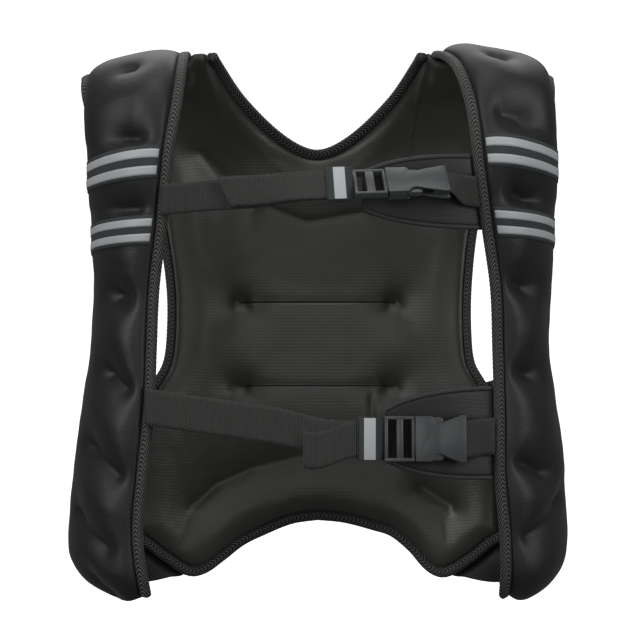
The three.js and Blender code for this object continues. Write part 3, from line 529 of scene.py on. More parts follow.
def new_grid(rows, columns, length=1.0, width=1.0):
    """A grid whose corners know their place, 0 to 1 both ways, and its map in metres"""
    mesh = bmesh.new()
    uv = mesh.loops.layers.uv.new("UVMap")
    bmesh.ops.create_grid(mesh, x_segments=columns, y_segments=rows, size=0.5, calc_uvs=True)
    place = mesh.verts.layers.float_vector.new("place")
    for vert in mesh.verts:
        vert[place] = (vert.co.x + .5, vert.co.y + .5, 0)
    for face in mesh.faces:
        for loop in face.loops:
            across, along, _ = loop.vert[place]
            loop[uv].uv = ((along - .5) * length * MM, (across - .5) * width * MM)
    return mesh, place


def close_slab(mesh, place, top, bottom):
    """Extrudes the grid and moves one copy to top(v, u), the other to bottom(v, u)"""
    made = bmesh.ops.extrude_face_region(mesh, geom=mesh.faces[:])
    raised = {item for item in made["geom"] if isinstance(item, bmesh.types.BMVert)}
    for vert in mesh.verts:
        v, u, _ = vert[place]
        vert.co = top(v, u) if vert in raised else bottom(v, u)
    bmesh.ops.recalc_face_normals(mesh, faces=mesh.faces)
    return raised


def tube(stations, width, thick, around=20, power=3.0, thread=0.36, pitch=3.6, slant=1.2):
    """A closed tube of rounded section along stations, with raised herringbone threads"""
    lengths = [0]
    for a, b in zip(stations, stations[1:]):
        lengths.append(lengths[-1] + (b[0] - a[0]).length)
    girth = 2 * (width + thick) * 0.85
    rows = int(lengths[-1] / .55)
    mesh, place = new_grid(rows, around, lengths[-1], girth)
    spots = []
    i = 0
    for row in range(rows + 1):
        target = lengths[-1] * row / rows
        while i < len(lengths) - 2 and lengths[i + 1] < target:
            i += 1
        s = (target - lengths[i]) / (lengths[i + 1] - lengths[i])
        spots.append([a.lerp(b, s) for a, b in zip(stations[i], stations[i + 1])])
    for vert in mesh.verts:
        v, u, _ = vert[place]
        centre, out, normal = spots[round(u * rows)]
        turn = (v + .25) * math.tau
        a, b = math.cos(turn), math.sin(turn)
        slanted = u * lengths[-1] + slant * abs(v - .5) * girth
        grow = 1 + thread * (math.sin(slanted / pitch * math.tau) - 1) / thick
        a = math.copysign(abs(a) ** (2 / power), a) * width / 2 * grow
        b = math.copysign(abs(b) ** (2 / power), b) * thick / 2 * grow
        vert.co = centre + out * a - normal * b
    bmesh.ops.remove_doubles(mesh, verts=mesh.verts, dist=1e-4)
    rim = [edge for edge in mesh.edges if edge.is_boundary]
    bmesh.ops.holes_fill(mesh, edges=rim, sides=0)
    bmesh.ops.recalc_face_normals(mesh, faces=mesh.faces)
    return mesh


def rail(points, normals, offset, lift):
    """Stations beside a line of points: moved sideways by offset and raised by lift"""
    stations = []
    last = len(points) - 1
    for i, (point, normal) in enumerate(zip(points, normals)):
        tangent = (points[min(last, i + 1)] - points[max(0, i - 1)]).normalized()
        out = tangent.cross(normal).normalized()
        rise = lift[i] if isinstance(lift, list) else lift
        stations.append((point + out * offset + normal * rise, out, normal))
    return stations


print("a grid of one face has", len(new_grid(1, 1)[0].verts), "corners")

# %% [markdown]
# ## Stitched dents
# The filling of a strap would slide down, so it is stitched down every 60 mm or so. Each
# stitch pulls the cover in, and makes a short deep fold with a wide hollow round it. They
# could be sculpted by hand. Here each is a line on the form with a radius and a depth, and
# every corner of the padding asks how near the next line is.

# %% Where the padding is stitched down
STRAP_DENTS = [
    # side, x and run of one end, x and run of the other, radius, depth
    (-1, -157, 449, -150, 449, 4, .60), (-1, -150, 376, -141, 374, 7, .85),
    (-1, -149, 314, -140, 317, 7, .85), (-1, -153, 249, -149, 247, 7, .90),
    (-1, -160, 183, -150, 171, 6, .88), (-1, -175, 122, -157, 100, 6, .86),
    (-1, -187, 66, -165, 41, 5, .82), (-1, -176, 20, -160, 8, 4, .62),
    (1, 146, 474, 154, 472, 6, .80), (1, 149, 397, 160, 395, 8, .84),
    (1, 155, 333, 163, 328, 7, .86), (1, 156, 259, 162, 256, 8, .92),
    (1, 159, 185, 165, 182, 7, .86), (1, 161, 110, 176, 101, 6, .84),
    (1, 166, 50, 189, 76, 5, .80),
]
BOWL_RADIUS, BOWL_DEPTH = 20, 0.40
FOLD_POWER = 1.35
SHALLOW, DEEPEST = .25, .96


def distance_to(point, start, end):
    """How far a point is from the line between two ends"""
    along = end - start
    share = min(1, max(0, (point - start).dot(along) / max(along.length_squared, 1e-9)))
    return (point - start - along * share).length


def dent_depth(point, lines):
    """The share of the padding that the stitches take away at a point"""
    fold = bowl = 0
    for start, end, radius, depth in lines:
        distance = distance_to(point, start, end)
        if distance < 60:
            fold = max(fold, depth * math.exp(-(distance / radius) ** FOLD_POWER))
            if depth > SHALLOW:
                bowl = max(bowl, math.exp(-(distance / BOWL_RADIUS) ** 2))
    return min(DEEPEST, fold + BOWL_DEPTH * bowl * (1 - fold))


def front_place(x, run):
    side = -1 if x < 0 else 1
    return form_point(side, run, angle_at(side, run, x))


STRAP_LINES = {side: [(front_place(x0, r0), front_place(x1, r1), radius, depth)
                      for s, x0, r0, x1, r1, radius, depth in STRAP_DENTS if s == side]
               for side in (-1, 1)}
print("stitches:", {side: len(lines) for side, lines in STRAP_LINES.items()})

# %% [markdown]
# ## The padded straps
# Each strap is one long pad. It runs from behind the shoulder, over it and down the front,
# and low down it widens and wraps round the side to the back. It starts as a flat grid.
# Extruding the grid gives the cover and the lining. The cover is then raised by the fullness
# of the filling, quickly at the edges and less where it is stitched, and the lining stays
# on the form.

# %% Shoulder straps
def even_edges(v):
    """Crowds the columns of a pad towards its two edges, where it turns over"""
    return mix(v, v * v * (3 - 2 * v), 0.55)


def strap_height(side, run, v):
    """Height of the cover over the form, with the form's point and direction"""
    point, normal, lift, full, edge, angle = strap_frame(side, run, v)
    bands = [abs(run - TAPE_FALL * v * v - along * CREST_RUN)
             for _, tape_side, along in TAPES if tape_side == side]
    under_tape = 1 - ease(TAPE_WIDTH * .45, TAPE_WIDTH * .7, min(bands))
    dent = dent_depth(point, STRAP_LINES[side]) * (1 - .8 * under_tape)
    swell = 1 + .05 * noise.noise(point / 34) + .03 * noise.noise(point / 13)
    rise = pad_rise(edge) * (1 - dent) * swell * (1 - .05 * under_tape)
    return point, normal, lift, STRAP_EDGE + (full - STRAP_EDGE) * rise


def make_strap(side, name):
    mesh, place = new_grid(190, 54)

    @lru_cache(None)
    def cell(v, u):
        return strap_height(side, u * STRAP_END, even_edges(v))

    def top(v, u):
        point, normal, lift, thick = cell(v, u)
        return point + normal * (lift + thick)

    def bottom(v, u):
        point, normal, lift, _ = cell(v, u)
        return point + normal * lift

    close_slab(mesh, place, top, bottom)
    strap = make_piece(f"strap_{name}_padding", mesh, NEOPRENE, [f"strap_{name}"])
    return smooth_more(strap)


STRAPS = {side: make_strap(side, name) for side, name in ((-1, "left"), (1, "right"))}
print("strap corners:", [len(strap.data.vertices) for strap in STRAPS.values()])

# %% [markdown]
# ## The braided edges of the straps
# The cut edges of the foam rubber are closed with a herringbone braid, folded round them
# and sewn. A band with thickness is enough, because the threads are in its finish, so each
# is a rounded tube that follows the edge of the padding.

# %% Braid along both edges of each strap
SEWN_OVER, BRAID_START = 0.8, 5
BRAID_WIDTH = BINDING_WIDTH + BINDING_GAP + SEWN_OVER


def strap_braid(side, name, v, facing, rows=300):
    start = BRAID_START if v == 0 else 0
    runs = [mix(start, STRAP_END, i / rows) for i in range(rows + 1)]
    frames = [strap_frame(side, run, v) for run in runs]
    stations = rail([f[0] for f in frames], [f[1] for f in frames],
                    facing * side * (BRAID_WIDTH / 2 - SEWN_OVER),
                    [f[2] + BINDING_THICK / 2 for f in frames])
    mesh = tube(stations, BRAID_WIDTH, BINDING_THICK)
    return make_piece(f"{name}_braid", mesh, BRAID, [name])


for side, label in ((-1, "left"), (1, "right")):
    strap_braid(side, f"strap_binding_{label}", 0, -1)
    strap_braid(side, f"armhole_binding_{label}", 1, 1)
print("strap braids made")

# %% [markdown]
# ## The back panel
# The panel is seen from its lining side. It is a thin pad with a scooped neck and an arched
# hem, quilted with two rows of stitches whose ends pull in deep, and with two curved folds
# low down. Its columns are spaced so that one falls on each end of the neck line.

# %% Back panel
PANEL_LINES = [
    # x and run of one end, x and run of the other, radius, depth
    (-ROW_REACH, UPPER_ROW, ROW_REACH, UPPER_ROW, 4, .24),
    (-73, UPPER_ROW, -67, UPPER_ROW, 6, .85), (67, UPPER_ROW, 72, UPPER_ROW, 6, .8),
    (-ROW_REACH, LOWER_ROW, ROW_REACH - 2, LOWER_ROW, 4, .24),
    (-73, LOWER_ROW, -67, LOWER_ROW, 6, .8), (65, LOWER_ROW, 70, LOWER_ROW, 6, .8),
    (-113, 63, -91, 82, 6, .72), (-91, 82, -60, 95, 6, .64), (-60, 95, -15, 106, 7, .48),
    (-15, 106, 57, 104, 9, .28), (96, 79, 121, 63, 6, .68),
    (-106, 380, -69, 336, 4.5, .40), (-46, 330, -10, 316, 4, .3), (-10, 316, 43, 325, 4, .3),
    (50, 166, 50, 140, 2.5, .14), (-125, 30, -112, 62, 12, .2), (118, 34, 112, 60, 12, .2),
]


def panel_half(side, along):
    return PANEL_WIDTH / 2 * look_up(PANEL, along, side)


def neck_run(x):
    share = abs(x) / (NECK_WIDTH / 2)
    if share >= 1:
        return CREST_RUN
    low, here, high = (math.hypot(s, NECK_ROUND) ** NECK_POWER for s in (0, share, 1))
    z = CREST_HEIGHT - NECK_DEPTH * (high - here) / (high - low)
    return FRONT_RUN + QUARTER * math.asin((z - SPRING) / ARCH_RISE) / (math.pi / 2)


@lru_cache(None)
def panel_ends(share):
    """The runs of the panel's bottom and top edges in one column"""
    side = 1 if share > 0 else -1
    low = FRONT_RUN * look_up(HEM_LINE, abs(share), side)
    high = CREST_RUN
    for _ in range(30):
        high = .5 * high + .5 * neck_run(share * panel_half(side, high / CREST_RUN))
    return low, high


NECK_SHARE = NECK_WIDTH / 2 / panel_half(1, 1)
PANEL_COLUMNS = 120
LEVEL_RUN = .9 * CREST_RUN
SHOULDER_PART = round((1 - NECK_SHARE) / 2 * PANEL_COLUMNS) / PANEL_COLUMNS


def panel_share(v):
    """The share of the panel's half width for a column; one falls on each end of the neck"""
    if v < SHOULDER_PART:
        return mix(-1, -NECK_SHARE, v / SHOULDER_PART)
    if v > 1 - SHOULDER_PART:
        return mix(NECK_SHARE, 1, (v - 1 + SHOULDER_PART) / SHOULDER_PART)
    return mix(-NECK_SHARE, NECK_SHARE, (v - SHOULDER_PART) / (1 - 2 * SHOULDER_PART))


def back_place(x, run):
    return face_at(x, 2 * CREST_RUN - run, 0)


PANEL_CREASES = [(back_place(x0, r0)[0], back_place(x1, r1)[0], radius, depth)
                 for x0, r0, x1, r1, radius, depth in PANEL_LINES]


def panel_frame(v, u):
    share = panel_share(v)
    low, high = panel_ends(share)
    run = mix(low, LEVEL_RUN, u) + (high - LEVEL_RUN) * u ** 3
    side = 1 if share > 0 else -1
    half = panel_half(side, run / CREST_RUN)
    point, normal = back_place(share * half, run)
    edge = min((1 - abs(share)) * half, run - low, high - run)
    return point, normal, edge, share


def crest_rise(point, v, u):
    """The panel rises to meet the straps' braid at the top of the shoulders"""
    x = abs(point.x)
    side = 1 if point.x > 0 else -1
    under = ease(inner_edge(side, 1) - 1, inner_edge(side, 1) + 3, x)
    near_neck = ease(.75, 1, x / (NECK_WIDTH / 2))
    return SHOULDER_RISE * near_neck * ease(.9, 1, u) * (1 - under)


def make_panel():
    mesh, place = new_grid(156, PANEL_COLUMNS)

    @lru_cache(None)
    def cell(v, u):
        point, normal, edge, share = panel_frame(v, even_edges(u))
        dent = dent_depth(point, PANEL_CREASES)
        swell = 1 + .06 * noise.noise(point / 40) + .03 * noise.noise(point / 15)
        thick = BACK_EDGE + (BACK_PADDING - BACK_EDGE) * pad_rise(edge) * (1 - dent) * swell
        bulge = BACK_BULGE * pad_rise(edge) * (1 - ease(.3, .5, abs(share)))
        rise = crest_rise(point, v, even_edges(u))
        return point, normal, thick - rise, bulge + rise

    def inside(v, u):
        point, normal, thick, _ = cell(v, u)
        return point - normal * thick

    def outside(v, u):
        point, normal, _, bulge = cell(v, u)
        return point + normal * bulge

    close_slab(mesh, place, inside, outside)
    panel = make_piece("back_panel_padding", mesh, PANEL_CLOTH, ["back_panel"])
    return smooth_more(panel)


BACK_PANEL = make_panel()
print("panel corners:", len(BACK_PANEL.data.vertices))

# %% [markdown]
# ## The braided edges of the panel
# The neck and the hem carry the same braid as the straps, and the sides a narrower one. The
# rails are read from the panel's own edges, from one corner to the other.

# %% Braid round the panel
def panel_edge(name, places, offset, width):
    """Braid with its front on the lining side, raised where the shoulders rise"""
    frames = [panel_frame(v, u) for v, u in places]
    lifts = [crest_rise(f[0], v, u) + BINDING_THICK / 2 for f, (v, u) in zip(frames, places)]
    stations = rail([f[0] for f in frames], [-f[1] for f in frames], offset,
                    [BINDING_THICK - lift for lift in lifts])
    mesh = tube(stations, width, BINDING_THICK)
    return make_piece(f"{name}_braid", mesh, BRAID, [name])


def steps(count, start=0.0, end=1.0):
    return [mix(start, end, i / count) for i in range(count + 1)]


SET_OFF = BRAID_WIDTH / 2 - SEWN_OVER
neck_columns = steps(240, SHOULDER_PART, 1 - SHOULDER_PART)
panel_edge("neck_binding", [(v, 1) for v in neck_columns], -SET_OFF, BRAID_WIDTH)
panel_edge("hem_binding", [(v, 0) for v in steps(300)], SET_OFF, BRAID_WIDTH)
for side, label in ((-1, "left"), (1, "right")):
    v = 0 if side < 0 else 1
    width = SIDE_BINDING_WIDTH + BINDING_GAP + SEWN_OVER
    panel_edge(f"side_binding_{label}", [(v, u) for u in steps(240)],
               side * (width / 2 - SEWN_OVER), width)
print("panel braids made")

# %% [markdown]
# ## The reflective tapes
# A tape is sewn flat over the padding and squeezes it a little. It has to follow the cover
# as it is now, stitches and all, so each corner of the tape is dropped onto the padding with
# a ray, and raised by a hair. The silver stripes are dropped in the same way, a little higher.

# %% Tapes and stripes
def surface_of(piece):
    """The finished surface of a piece, to drop other pieces onto, in millimetres"""
    view = piece.evaluated_get(bpy.context.evaluated_depsgraph_get())
    mesh = bmesh.new()
    mesh.from_mesh(view.to_mesh())
    bmesh.ops.scale(mesh, vec=(1 / MM, 1 / MM, 1 / MM), verts=mesh.verts)
    tree = BVHTree.FromBMesh(mesh)
    mesh.free()
    view.to_mesh_clear()
    return tree


SURFACES = {side: surface_of(strap) for side, strap in STRAPS.items()}


def band(side, run, low, high, lift, thick, trim, rows):
    """A closed strip over a strap, between two offsets from its middle run"""
    mesh, place = new_grid(rows, 60, high - low, 165)

    @lru_cache(None)
    def cell(v, u):
        across = mix(trim, 1 - trim, v)
        down = run + mix(low, high, u) - TAPE_FALL * across * across
        point, normal, *_ = strap_frame(side, down, across)
        start = point + normal * 60
        hit = SURFACES[side].ray_cast(start, -normal)[0]
        return hit or point + normal * STRAP_EDGE, normal

    def top(v, u):
        hit, normal = cell(v, u)
        return hit + normal * (lift + thick)

    def bottom(v, u):
        hit, normal = cell(v, u)
        return hit + normal * lift

    close_slab(mesh, place, top, bottom)
    uv = mesh.loops.layers.uv.active
    for face in mesh.faces:
        for loop in face.loops:
            loop[uv].uv = loop[uv].uv.yx
    return mesh


for label, side, along in TAPES:
    run = along * CREST_RUN
    half = TAPE_WIDTH / 2
    tape = band(side, run, -half, half, TAPE_LIFT, TAPE_THICK, .012, 12)
    make_piece(f"tape_{label}_band", tape, TAPE, [f"tape_{label}"])
    for index, middle in enumerate((STRIPE_SPACING / 2, -STRIPE_SPACING / 2)):
        low, high = middle - STRIPE_WIDTH / 2, middle + STRIPE_WIDTH / 2
        stripe = band(side, run, low, high, STRIPE_LIFT, STRIPE_THICK, .014, 4)
        node = f"stripe_{label}_{index + 1}"
        make_piece(f"{node}_film", stripe, SILVER, [node])
print("tapes:", len(TAPES))

# %% [markdown]
# ## The chest straps
# Two webbing straps close the vest. On the left each is folded over the strap's edge and
# sewn. It runs to a side release buckle, comes back on itself as a loose tail and is held by
# an elastic keeper. Their places are shares of half the vest's width and of the front's
# height, as for the solids.

# %% Lines of the chest straps
CHEST = {
    "upper": {
        "web": 25, "tilt": 50, "tail_from": -.35, "tail_rise": .006, "slant": -.45,
        "keeper": .078, "keeper_long": .84, "prongs": .132, "prongs_long": 1.08,
        "socket_long": 2,
        "flap": (.19, 1.044, .884, .964),
        "line": [(-.6, .946), (-.15, .962), (.08, .967), (.2, .977), (.38, .979), (.62, .964)],
    },
    "lower": {
        "web": 30, "tilt": 5, "tail_from": -.056, "tail_rise": -.04, "slant": 0,
        "keeper": .192, "keeper_long": .6, "prongs": .25, "prongs_long": .85,
        "socket_long": 1.4,
        "flap": (.262, .494, .289, .389),
        "line": [(-.66, .455), (-.22, .418), (.09, .39), (.25, .383), (.37, .381),
                 (.5, .381), (.68, .384)],
    },
}


def chest_face(x, z, offset):
    return face_at(x, z - HEM, offset)


def line_height(chest, x):
    return HEM + FRONT_RUN * look_up(chest["line"], x / HALF_WIDTH)


def strap_edge(side, z):
    return side * inner_edge(side, (z - HEM) / CREST_RUN)


def strap_meeting(chest, side):
    x = side * VEST_WIDTH / 3
    for _ in range(20):
        x = strap_edge(side, line_height(chest, x))
    return x


def upright_frame(chest, x, offset):
    """On the form: x along the strap, y up and z outwards"""
    point, normal = chest_face(x, line_height(chest, x), offset)
    along = (chest_face(x + 1, line_height(chest, x + 1), offset)[0] - point).normalized()
    up = normal.cross(along).normalized()
    out = along.cross(up).normalized()
    return Matrix.Translation(point) @ Matrix((along, up, out)).transposed().to_4x4()


STACK = 2 * WEB_THICK + LAYER_GAP
ANCHOR_LIFT = LAP_GAP + BINDING_THICK + BINDING_GAP
for name, chest in CHEST.items():
    web, lean = chest["web"], math.radians(chest["tilt"])
    height = web + 2 * BUCKLE_MARGIN
    lift = (FLAP_LIFT + FLAP_THICK + 2 * SEAM_GAP + height / 2 * math.sin(lean)
            + BUCKLE_THICK / 2 * math.cos(lean))
    start = chest["prongs"] * HALF_WIDTH
    middle = start + chest["prongs_long"] * web
    upright = upright_frame(chest, middle, lift)
    chest.update({
        "height": height, "prongs_start": start, "middle": middle,
        "keeper_middle": chest["keeper"] * HALF_WIDTH, "keeper_width": chest["keeper_long"] * web,
        "socket_end": middle + chest["socket_long"] * web,
        "left": strap_meeting(chest, -1), "right": strap_meeting(chest, 1),
        "half_lean": upright @ Matrix.Rotation(-lean / 2, 4, "X"),
        "lean": upright @ Matrix.Rotation(-lean, 4, "X"),
    })
    print(name, "strap from", round(chest["left"]), "to", round(chest["right"]), "mm")


def left_point(chest, x, h, lift):
    """A place on the long webbing: on the chest at the left, in line with the buckle later"""
    on_chest = chest_face(x, line_height(chest, x) + h, ANCHOR_LIFT + lift)[0]
    in_line = chest["half_lean"] @ Vector((x - chest["middle"], h, lift - STACK / 2))
    keeper_start = chest["keeper_middle"] - chest["keeper_width"] / 2
    return on_chest.lerp(in_line, ease(keeper_start - WEB_BLEND, keeper_start - WEB_SETTLE, x))


# %% [markdown]
# ## Webbing
# Webbing is flat and stiff across its width, so it isn't simulated. It is a thin slab whose
# grid lies on the strap's line. Its ribs run across the band, and the finish reads them from
# the piece's own map, so that they turn with it.

# %% Webbing strips
RIB_HEIGHT, RIB_PITCH = 0.1, 1.7
ROW_LENGTH, WEB_ROUND, ROUND_REACH = .42, .35, 1.2
FLAT_FROM = .6


def strip(chest, start, end, point_at, lift, columns=10, sag=0.0):
    """A closed strip of webbing; start and end give x for a height"""
    web = chest["web"]
    long = abs(end(0) - start(0))
    rows = int(long / ROW_LENGTH)
    mesh, place = new_grid(rows, columns, long, web)

    def at(v, u, extra):
        h = (v - .5) * web
        x = mix(start(h), end(h), u)
        edge = min(v, 1 - v) * web
        round_edge = WEB_ROUND * (1 - pad_rise(edge, ROUND_REACH))
        wavy = sag * math.sin(u * math.pi) * noise.noise(Vector((x / 30, h / 22, long)))
        rib = RIB_HEIGHT * (math.sin(u * long / RIB_PITCH * math.tau) - 1) - round_edge
        inset = rib if extra > 0 else -rib
        return point_at(chest, x, h, lift + extra + inset + wavy)

    close_slab(mesh, place, lambda v, u: at(v, u, WEB_THICK), lambda v, u: at(v, u, 0))
    return mesh


def constant(x):
    return lambda h: x


for name, chest in CHEST.items():
    left, web = chest["left"], chest["web"]
    web_end = constant(chest["prongs_start"] - 1.5 * SEAM_GAP)
    long = strip(chest, constant(left + .6), web_end, left_point, 0)
    make_piece(f"{name}_webbing_band", long, WEBBING, [f"{name}_webbing"])

    tail_start = chest["tail_from"] * HALF_WIDTH
    keeper_start = chest["keeper_middle"] - chest["keeper_width"] / 2

    def tail_point(chest, x, h, lift):
        free = 1 - ease(tail_start, keeper_start - LAYER_GAP, x)
        loose = TAIL_LOOSE * free
        return left_point(chest, x, h + chest["tail_rise"] * FRONT_RUN * free, lift + loose)

    def cut_end(h):
        return tail_start + chest["slant"] * h

    tail = strip(chest, cut_end, web_end, tail_point, WEB_THICK + LAYER_GAP, sag=.4)
    make_piece(f"{name}_tail_band", tail, WEBBING, [f"{name}_tail"])

    def end_point(chest, x, h, lift):
        in_line = chest["lean"] @ Vector((x - chest["middle"], h, lift))
        on_chest = chest_face(x, line_height(chest, x) + h, ANCHOR_LIFT - END_DROP + lift)[0]
        flat_from = mix(chest["socket_end"], chest["right"], FLAT_FROM)
        return in_line.lerp(on_chest, ease(chest["socket_end"] - 2, flat_from, x))

    def meeting(h):
        return strap_edge(1, line_height(chest, chest["right"]) + h) - SEAM_GAP

    end = strip(chest, constant(chest["socket_end"] - 7), meeting, end_point, -WEB_THICK / 2)
    make_piece(f"{name}_end_webbing_band", end, WEBBING, [f"{name}_end_webbing"])
print("webbing strips made")

# %% [markdown]
# ## The folded anchors
# On the left the webbing is wrapped over the braid and sewn, which leaves a smooth fold
# across the braid. It is a short strip that stands a little proud of the braid and turns
# down behind its far edge.

# %% Anchors over the left braid
for name, chest in CHEST.items():
    left = chest["left"]
    far_edge = left - ANCHOR_WIDTH

    def fold_point(chest, x, h, lift):
        far = ease(far_edge + 3.2, far_edge - 1.5, x)
        near = ease(left - 1.5, left + .6, x)
        return left_point(chest, x, h * 1.03, lift - FOLD_DROP * far + .35 * (1 - near))

    anchor = strip(chest, constant(far_edge - 1.2), constant(left + .5), fold_point,
                   0)
    make_piece(f"{name}_anchor_fold", anchor, WEBBING, [f"{name}_anchor"])
print("anchors made")

# %% [markdown]
# ## The elastic keepers
# A keeper is a loop of elastic that holds the tail against the webbing. It starts as a box
# with its two open ends taken off, gets a wall with Solidify's operator, and its corners are
# rounded with a bevel. A silver stripe is sewn round its front.

# %% Keepers
for name, chest in CHEST.items():
    deep = STACK + 2 * KEEPER_GAP + 2 * KEEPER_WALL
    tall = chest["web"] + 2 * KEEPER_SIDE + 2 * KEEPER_WALL
    shift = Matrix.Translation((chest["keeper_middle"] - chest["middle"], 0, 0))
    place_keeper = chest["half_lean"] @ shift

    mesh = bmesh.new()
    mesh.loops.layers.uv.new("UVMap")
    size = Matrix.Diagonal((chest["keeper_width"], tall, deep, 1))
    bmesh.ops.create_cube(mesh, size=1, matrix=size, calc_uvs=True)
    ends = [face for face in mesh.faces if abs(face.normal.x) > .9]
    bmesh.ops.delete(mesh, geom=ends, context="FACES_ONLY")
    long_edges = [e for e in mesh.edges if abs((e.verts[0].co - e.verts[1].co).x) > 1]
    bmesh.ops.bevel(mesh, geom=long_edges, offset=1.6, segments=5, profile=.5, affect="EDGES",
                    material=-1)
    bmesh.ops.recalc_face_normals(mesh, faces=mesh.faces)
    bmesh.ops.solidify(mesh, geom=mesh.faces[:], thickness=KEEPER_WALL)
    bmesh.ops.recalc_face_normals(mesh, faces=mesh.faces)
    uv = mesh.loops.layers.uv.active
    for face in mesh.faces:
        for loop in face.loops:
            loop[uv].uv = (loop.vert.co.y * MM, loop.vert.co.x * MM)
    bmesh.ops.transform(mesh, matrix=place_keeper, verts=mesh.verts)
    make_piece(f"{name}_keeper_loop", mesh, TAPE, [f"{name}_keeper"])

    mesh = bmesh.new()
    size = Matrix.Diagonal((KEEPER_STRIPE, tall - 1.2, .5, 1))
    lift = Matrix.Translation((0, 0, deep / 2 + .35))
    bmesh.ops.create_cube(mesh, size=1, matrix=lift @ size)
    bmesh.ops.bevel(mesh, geom=mesh.edges[:], offset=.15, segments=2, profile=.5,
                    affect="EDGES", material=-1)
    bmesh.ops.transform(mesh, matrix=place_keeper, verts=mesh.verts)
    make_piece(f"{name}_keeper_stripe_film", mesh, SILVER, [f"{name}_keeper_stripe"])
print("keepers made")

# %% [markdown]
# ## The buckles
# A side release buckle has two moulded halves. The prongs half is a plate with two slots for
# the webbing and a tongue with two springy arms. The socket half is a flat hollow body with
# waisted sides, where the arms' finger pads show. Both are drawn as an outline of a few
# corners, extruded to their thickness and bevelled, as a mould maker would.

# %% Outline plates
def plate(corners, low, high, bevel=.7, segments=3):
    """A plate of that outline between two heights, with rounded edges"""
    mesh = bmesh.new()
    verts = [mesh.verts.new((x, y, low)) for x, y in corners]
    face = mesh.faces.new(verts)
    made = bmesh.ops.extrude_face_region(mesh, geom=[face])
    raised = [item for item in made["geom"] if isinstance(item, bmesh.types.BMVert)]
    bmesh.ops.translate(mesh, vec=(0, 0, high - low), verts=raised)
    bmesh.ops.recalc_face_normals(mesh, faces=mesh.faces)
    if bevel:
        bmesh.ops.bevel(mesh, geom=mesh.edges[:], offset=bevel, segments=segments, profile=.5,
                        affect="EDGES", material=-1, clamp_overlap=True)
    return mesh


def mirrored(half):
    """The whole outline from its upper half, which runs from left to right"""
    return list(half) + [(x, -y) for x, y in reversed(half) if abs(y) > 1e-6]


def joined(meshes):
    """One mesh from several"""
    whole = bmesh.new()
    for mesh in meshes:
        data = bpy.data.meshes.new("part")
        mesh.to_mesh(data)
        mesh.free()
        whole.from_mesh(data)
        bpy.data.meshes.remove(data)
    return whole


def box(x0, x1, y0, y1, z0, z1, bevel=.5, segments=2):
    return plate([(x0, y0), (x1, y0), (x1, y1), (x0, y1)], z0, z1, bevel, segments)


print("outline helper ready")

# %% Prongs half
TONGUE_SHARE, RAIL_PROUD, BAR_PROUD, BAR_END = .6, .6, .4, 1


def prongs_mesh(chest):
    """Frame of rails and three bars, with the tongue that goes into the socket"""
    web, edge = chest["web"], chest["height"] / 2
    lead = chest["prongs_long"] * web
    half = BUCKLE_THICK / 2 - SOCKET_WALL
    rail_width = edge - web / 2 - .5
    inset = SLOT_MARGIN
    bars = [(-lead, -lead + inset), (-lead + inset + SLOT_WIDTH, -inset - SLOT_WIDTH),
            (-inset, -BUCKLE_FIT)]
    parts = [box(-lead, -BUCKLE_FIT, edge - rail_width, edge, -half, half + RAIL_PROUD, .9, 3),
             box(-lead, -BUCKLE_FIT, -edge, -edge + rail_width, -half, half + RAIL_PROUD, .9, 3)]
    for low, high in bars:
        parts.append(box(low + .01, high - .01, -edge + BAR_END, edge - BAR_END, -half + .2,
                         half + BAR_PROUD, .7))
    tongue = TONGUE_SHARE * chest["socket_long"] * web
    reach = edge - SHOULDER_NOTCH
    inner = half - BUCKLE_FIT
    parts.append(plate(mirrored([(-1, reach), (tongue * .8, reach - 1), (tongue, 2)]),
                       -inner, inner, .5, 2))
    return joined(parts)


NOTCH_SHARE, ARM_DEEP = .17, 10


def socket_outline(chest):
    """The socket's upper edge: a straight mouth, a round finger notch and a flared tail"""
    edge, long = chest["height"] / 2, chest["socket_long"] * chest["web"]
    notch = chest["height"] * NOTCH_SHARE
    shape = [(0, 0), (.31, 0), (.345, .12), (.365, .45), (.39, .8), (.43, .98), (.48, .98),
             (.54, .82), (.62, .58), (.72, .34), (.82, .1), (.9, -.1), (.95, -.14), (1, -.1)]
    return [(long * x, edge - notch * y) for x, y in shape]


def socket_mesh(chest):
    """Two skins with the hollow between them, closed by side walls and the tail bar"""
    edge, long = chest["height"] / 2, chest["socket_long"] * chest["web"]
    half = BUCKLE_THICK / 2
    outline = mirrored(socket_outline(chest))
    skin = SOCKET_WALL
    upper = plate(outline, half - skin, half, .55, 3)
    lower = plate(outline, -half, -half + skin, .55, 3)
    walls = [box(long * .02, long * .30, s * edge - (2.6 if s > 0 else 0),
                 s * edge + (0 if s > 0 else 2.6), -half + .5, half - .5, .5) for s in (-1, 1)]
    tail = box(long * .74, long - .6, -edge + 3, edge - 3, -half + .4, half - .4, .6)
    arms = []
    for s in (-1, 1):
        arm = [(long * .3, s * (edge - .8)), (long * .5, s * (edge - .6)),
               (long * .56, s * (edge - 2.4)), (long * .56, s * (edge - ARM_DEEP)),
               (long * .3, s * (edge - ARM_DEEP))]
        arms.append(plate(arm if s < 0 else arm[::-1], -half + skin + .3, half - skin - .3, .8))
    rib = box(long * .93, long * .955, -edge + 2, edge - 2, half - .3, half + .3, .25)
    return joined([upper, lower, tail, rib] + walls + arms)


for name, chest in CHEST.items():
    for label, mesh in (("prongs", prongs_mesh(chest)), ("socket", socket_mesh(chest))):
        bmesh.ops.transform(mesh, matrix=chest["lean"], verts=mesh.verts)
        buckle = make_piece(f"{name}_{label}_moulding", mesh, BUCKLE,
                            [f"{name}_{label}"])
        buckle.data.set_sharp_from_angle(angle=math.radians(40))
print("buckles made")

# %% [markdown]
# ## The flaps behind the buckles
# A leaf of the same foam rubber keeps each buckle off the chest. It is a thin sheet, cut
# round at its free end and sewn under the right strap's braid, with a narrow bound edge.

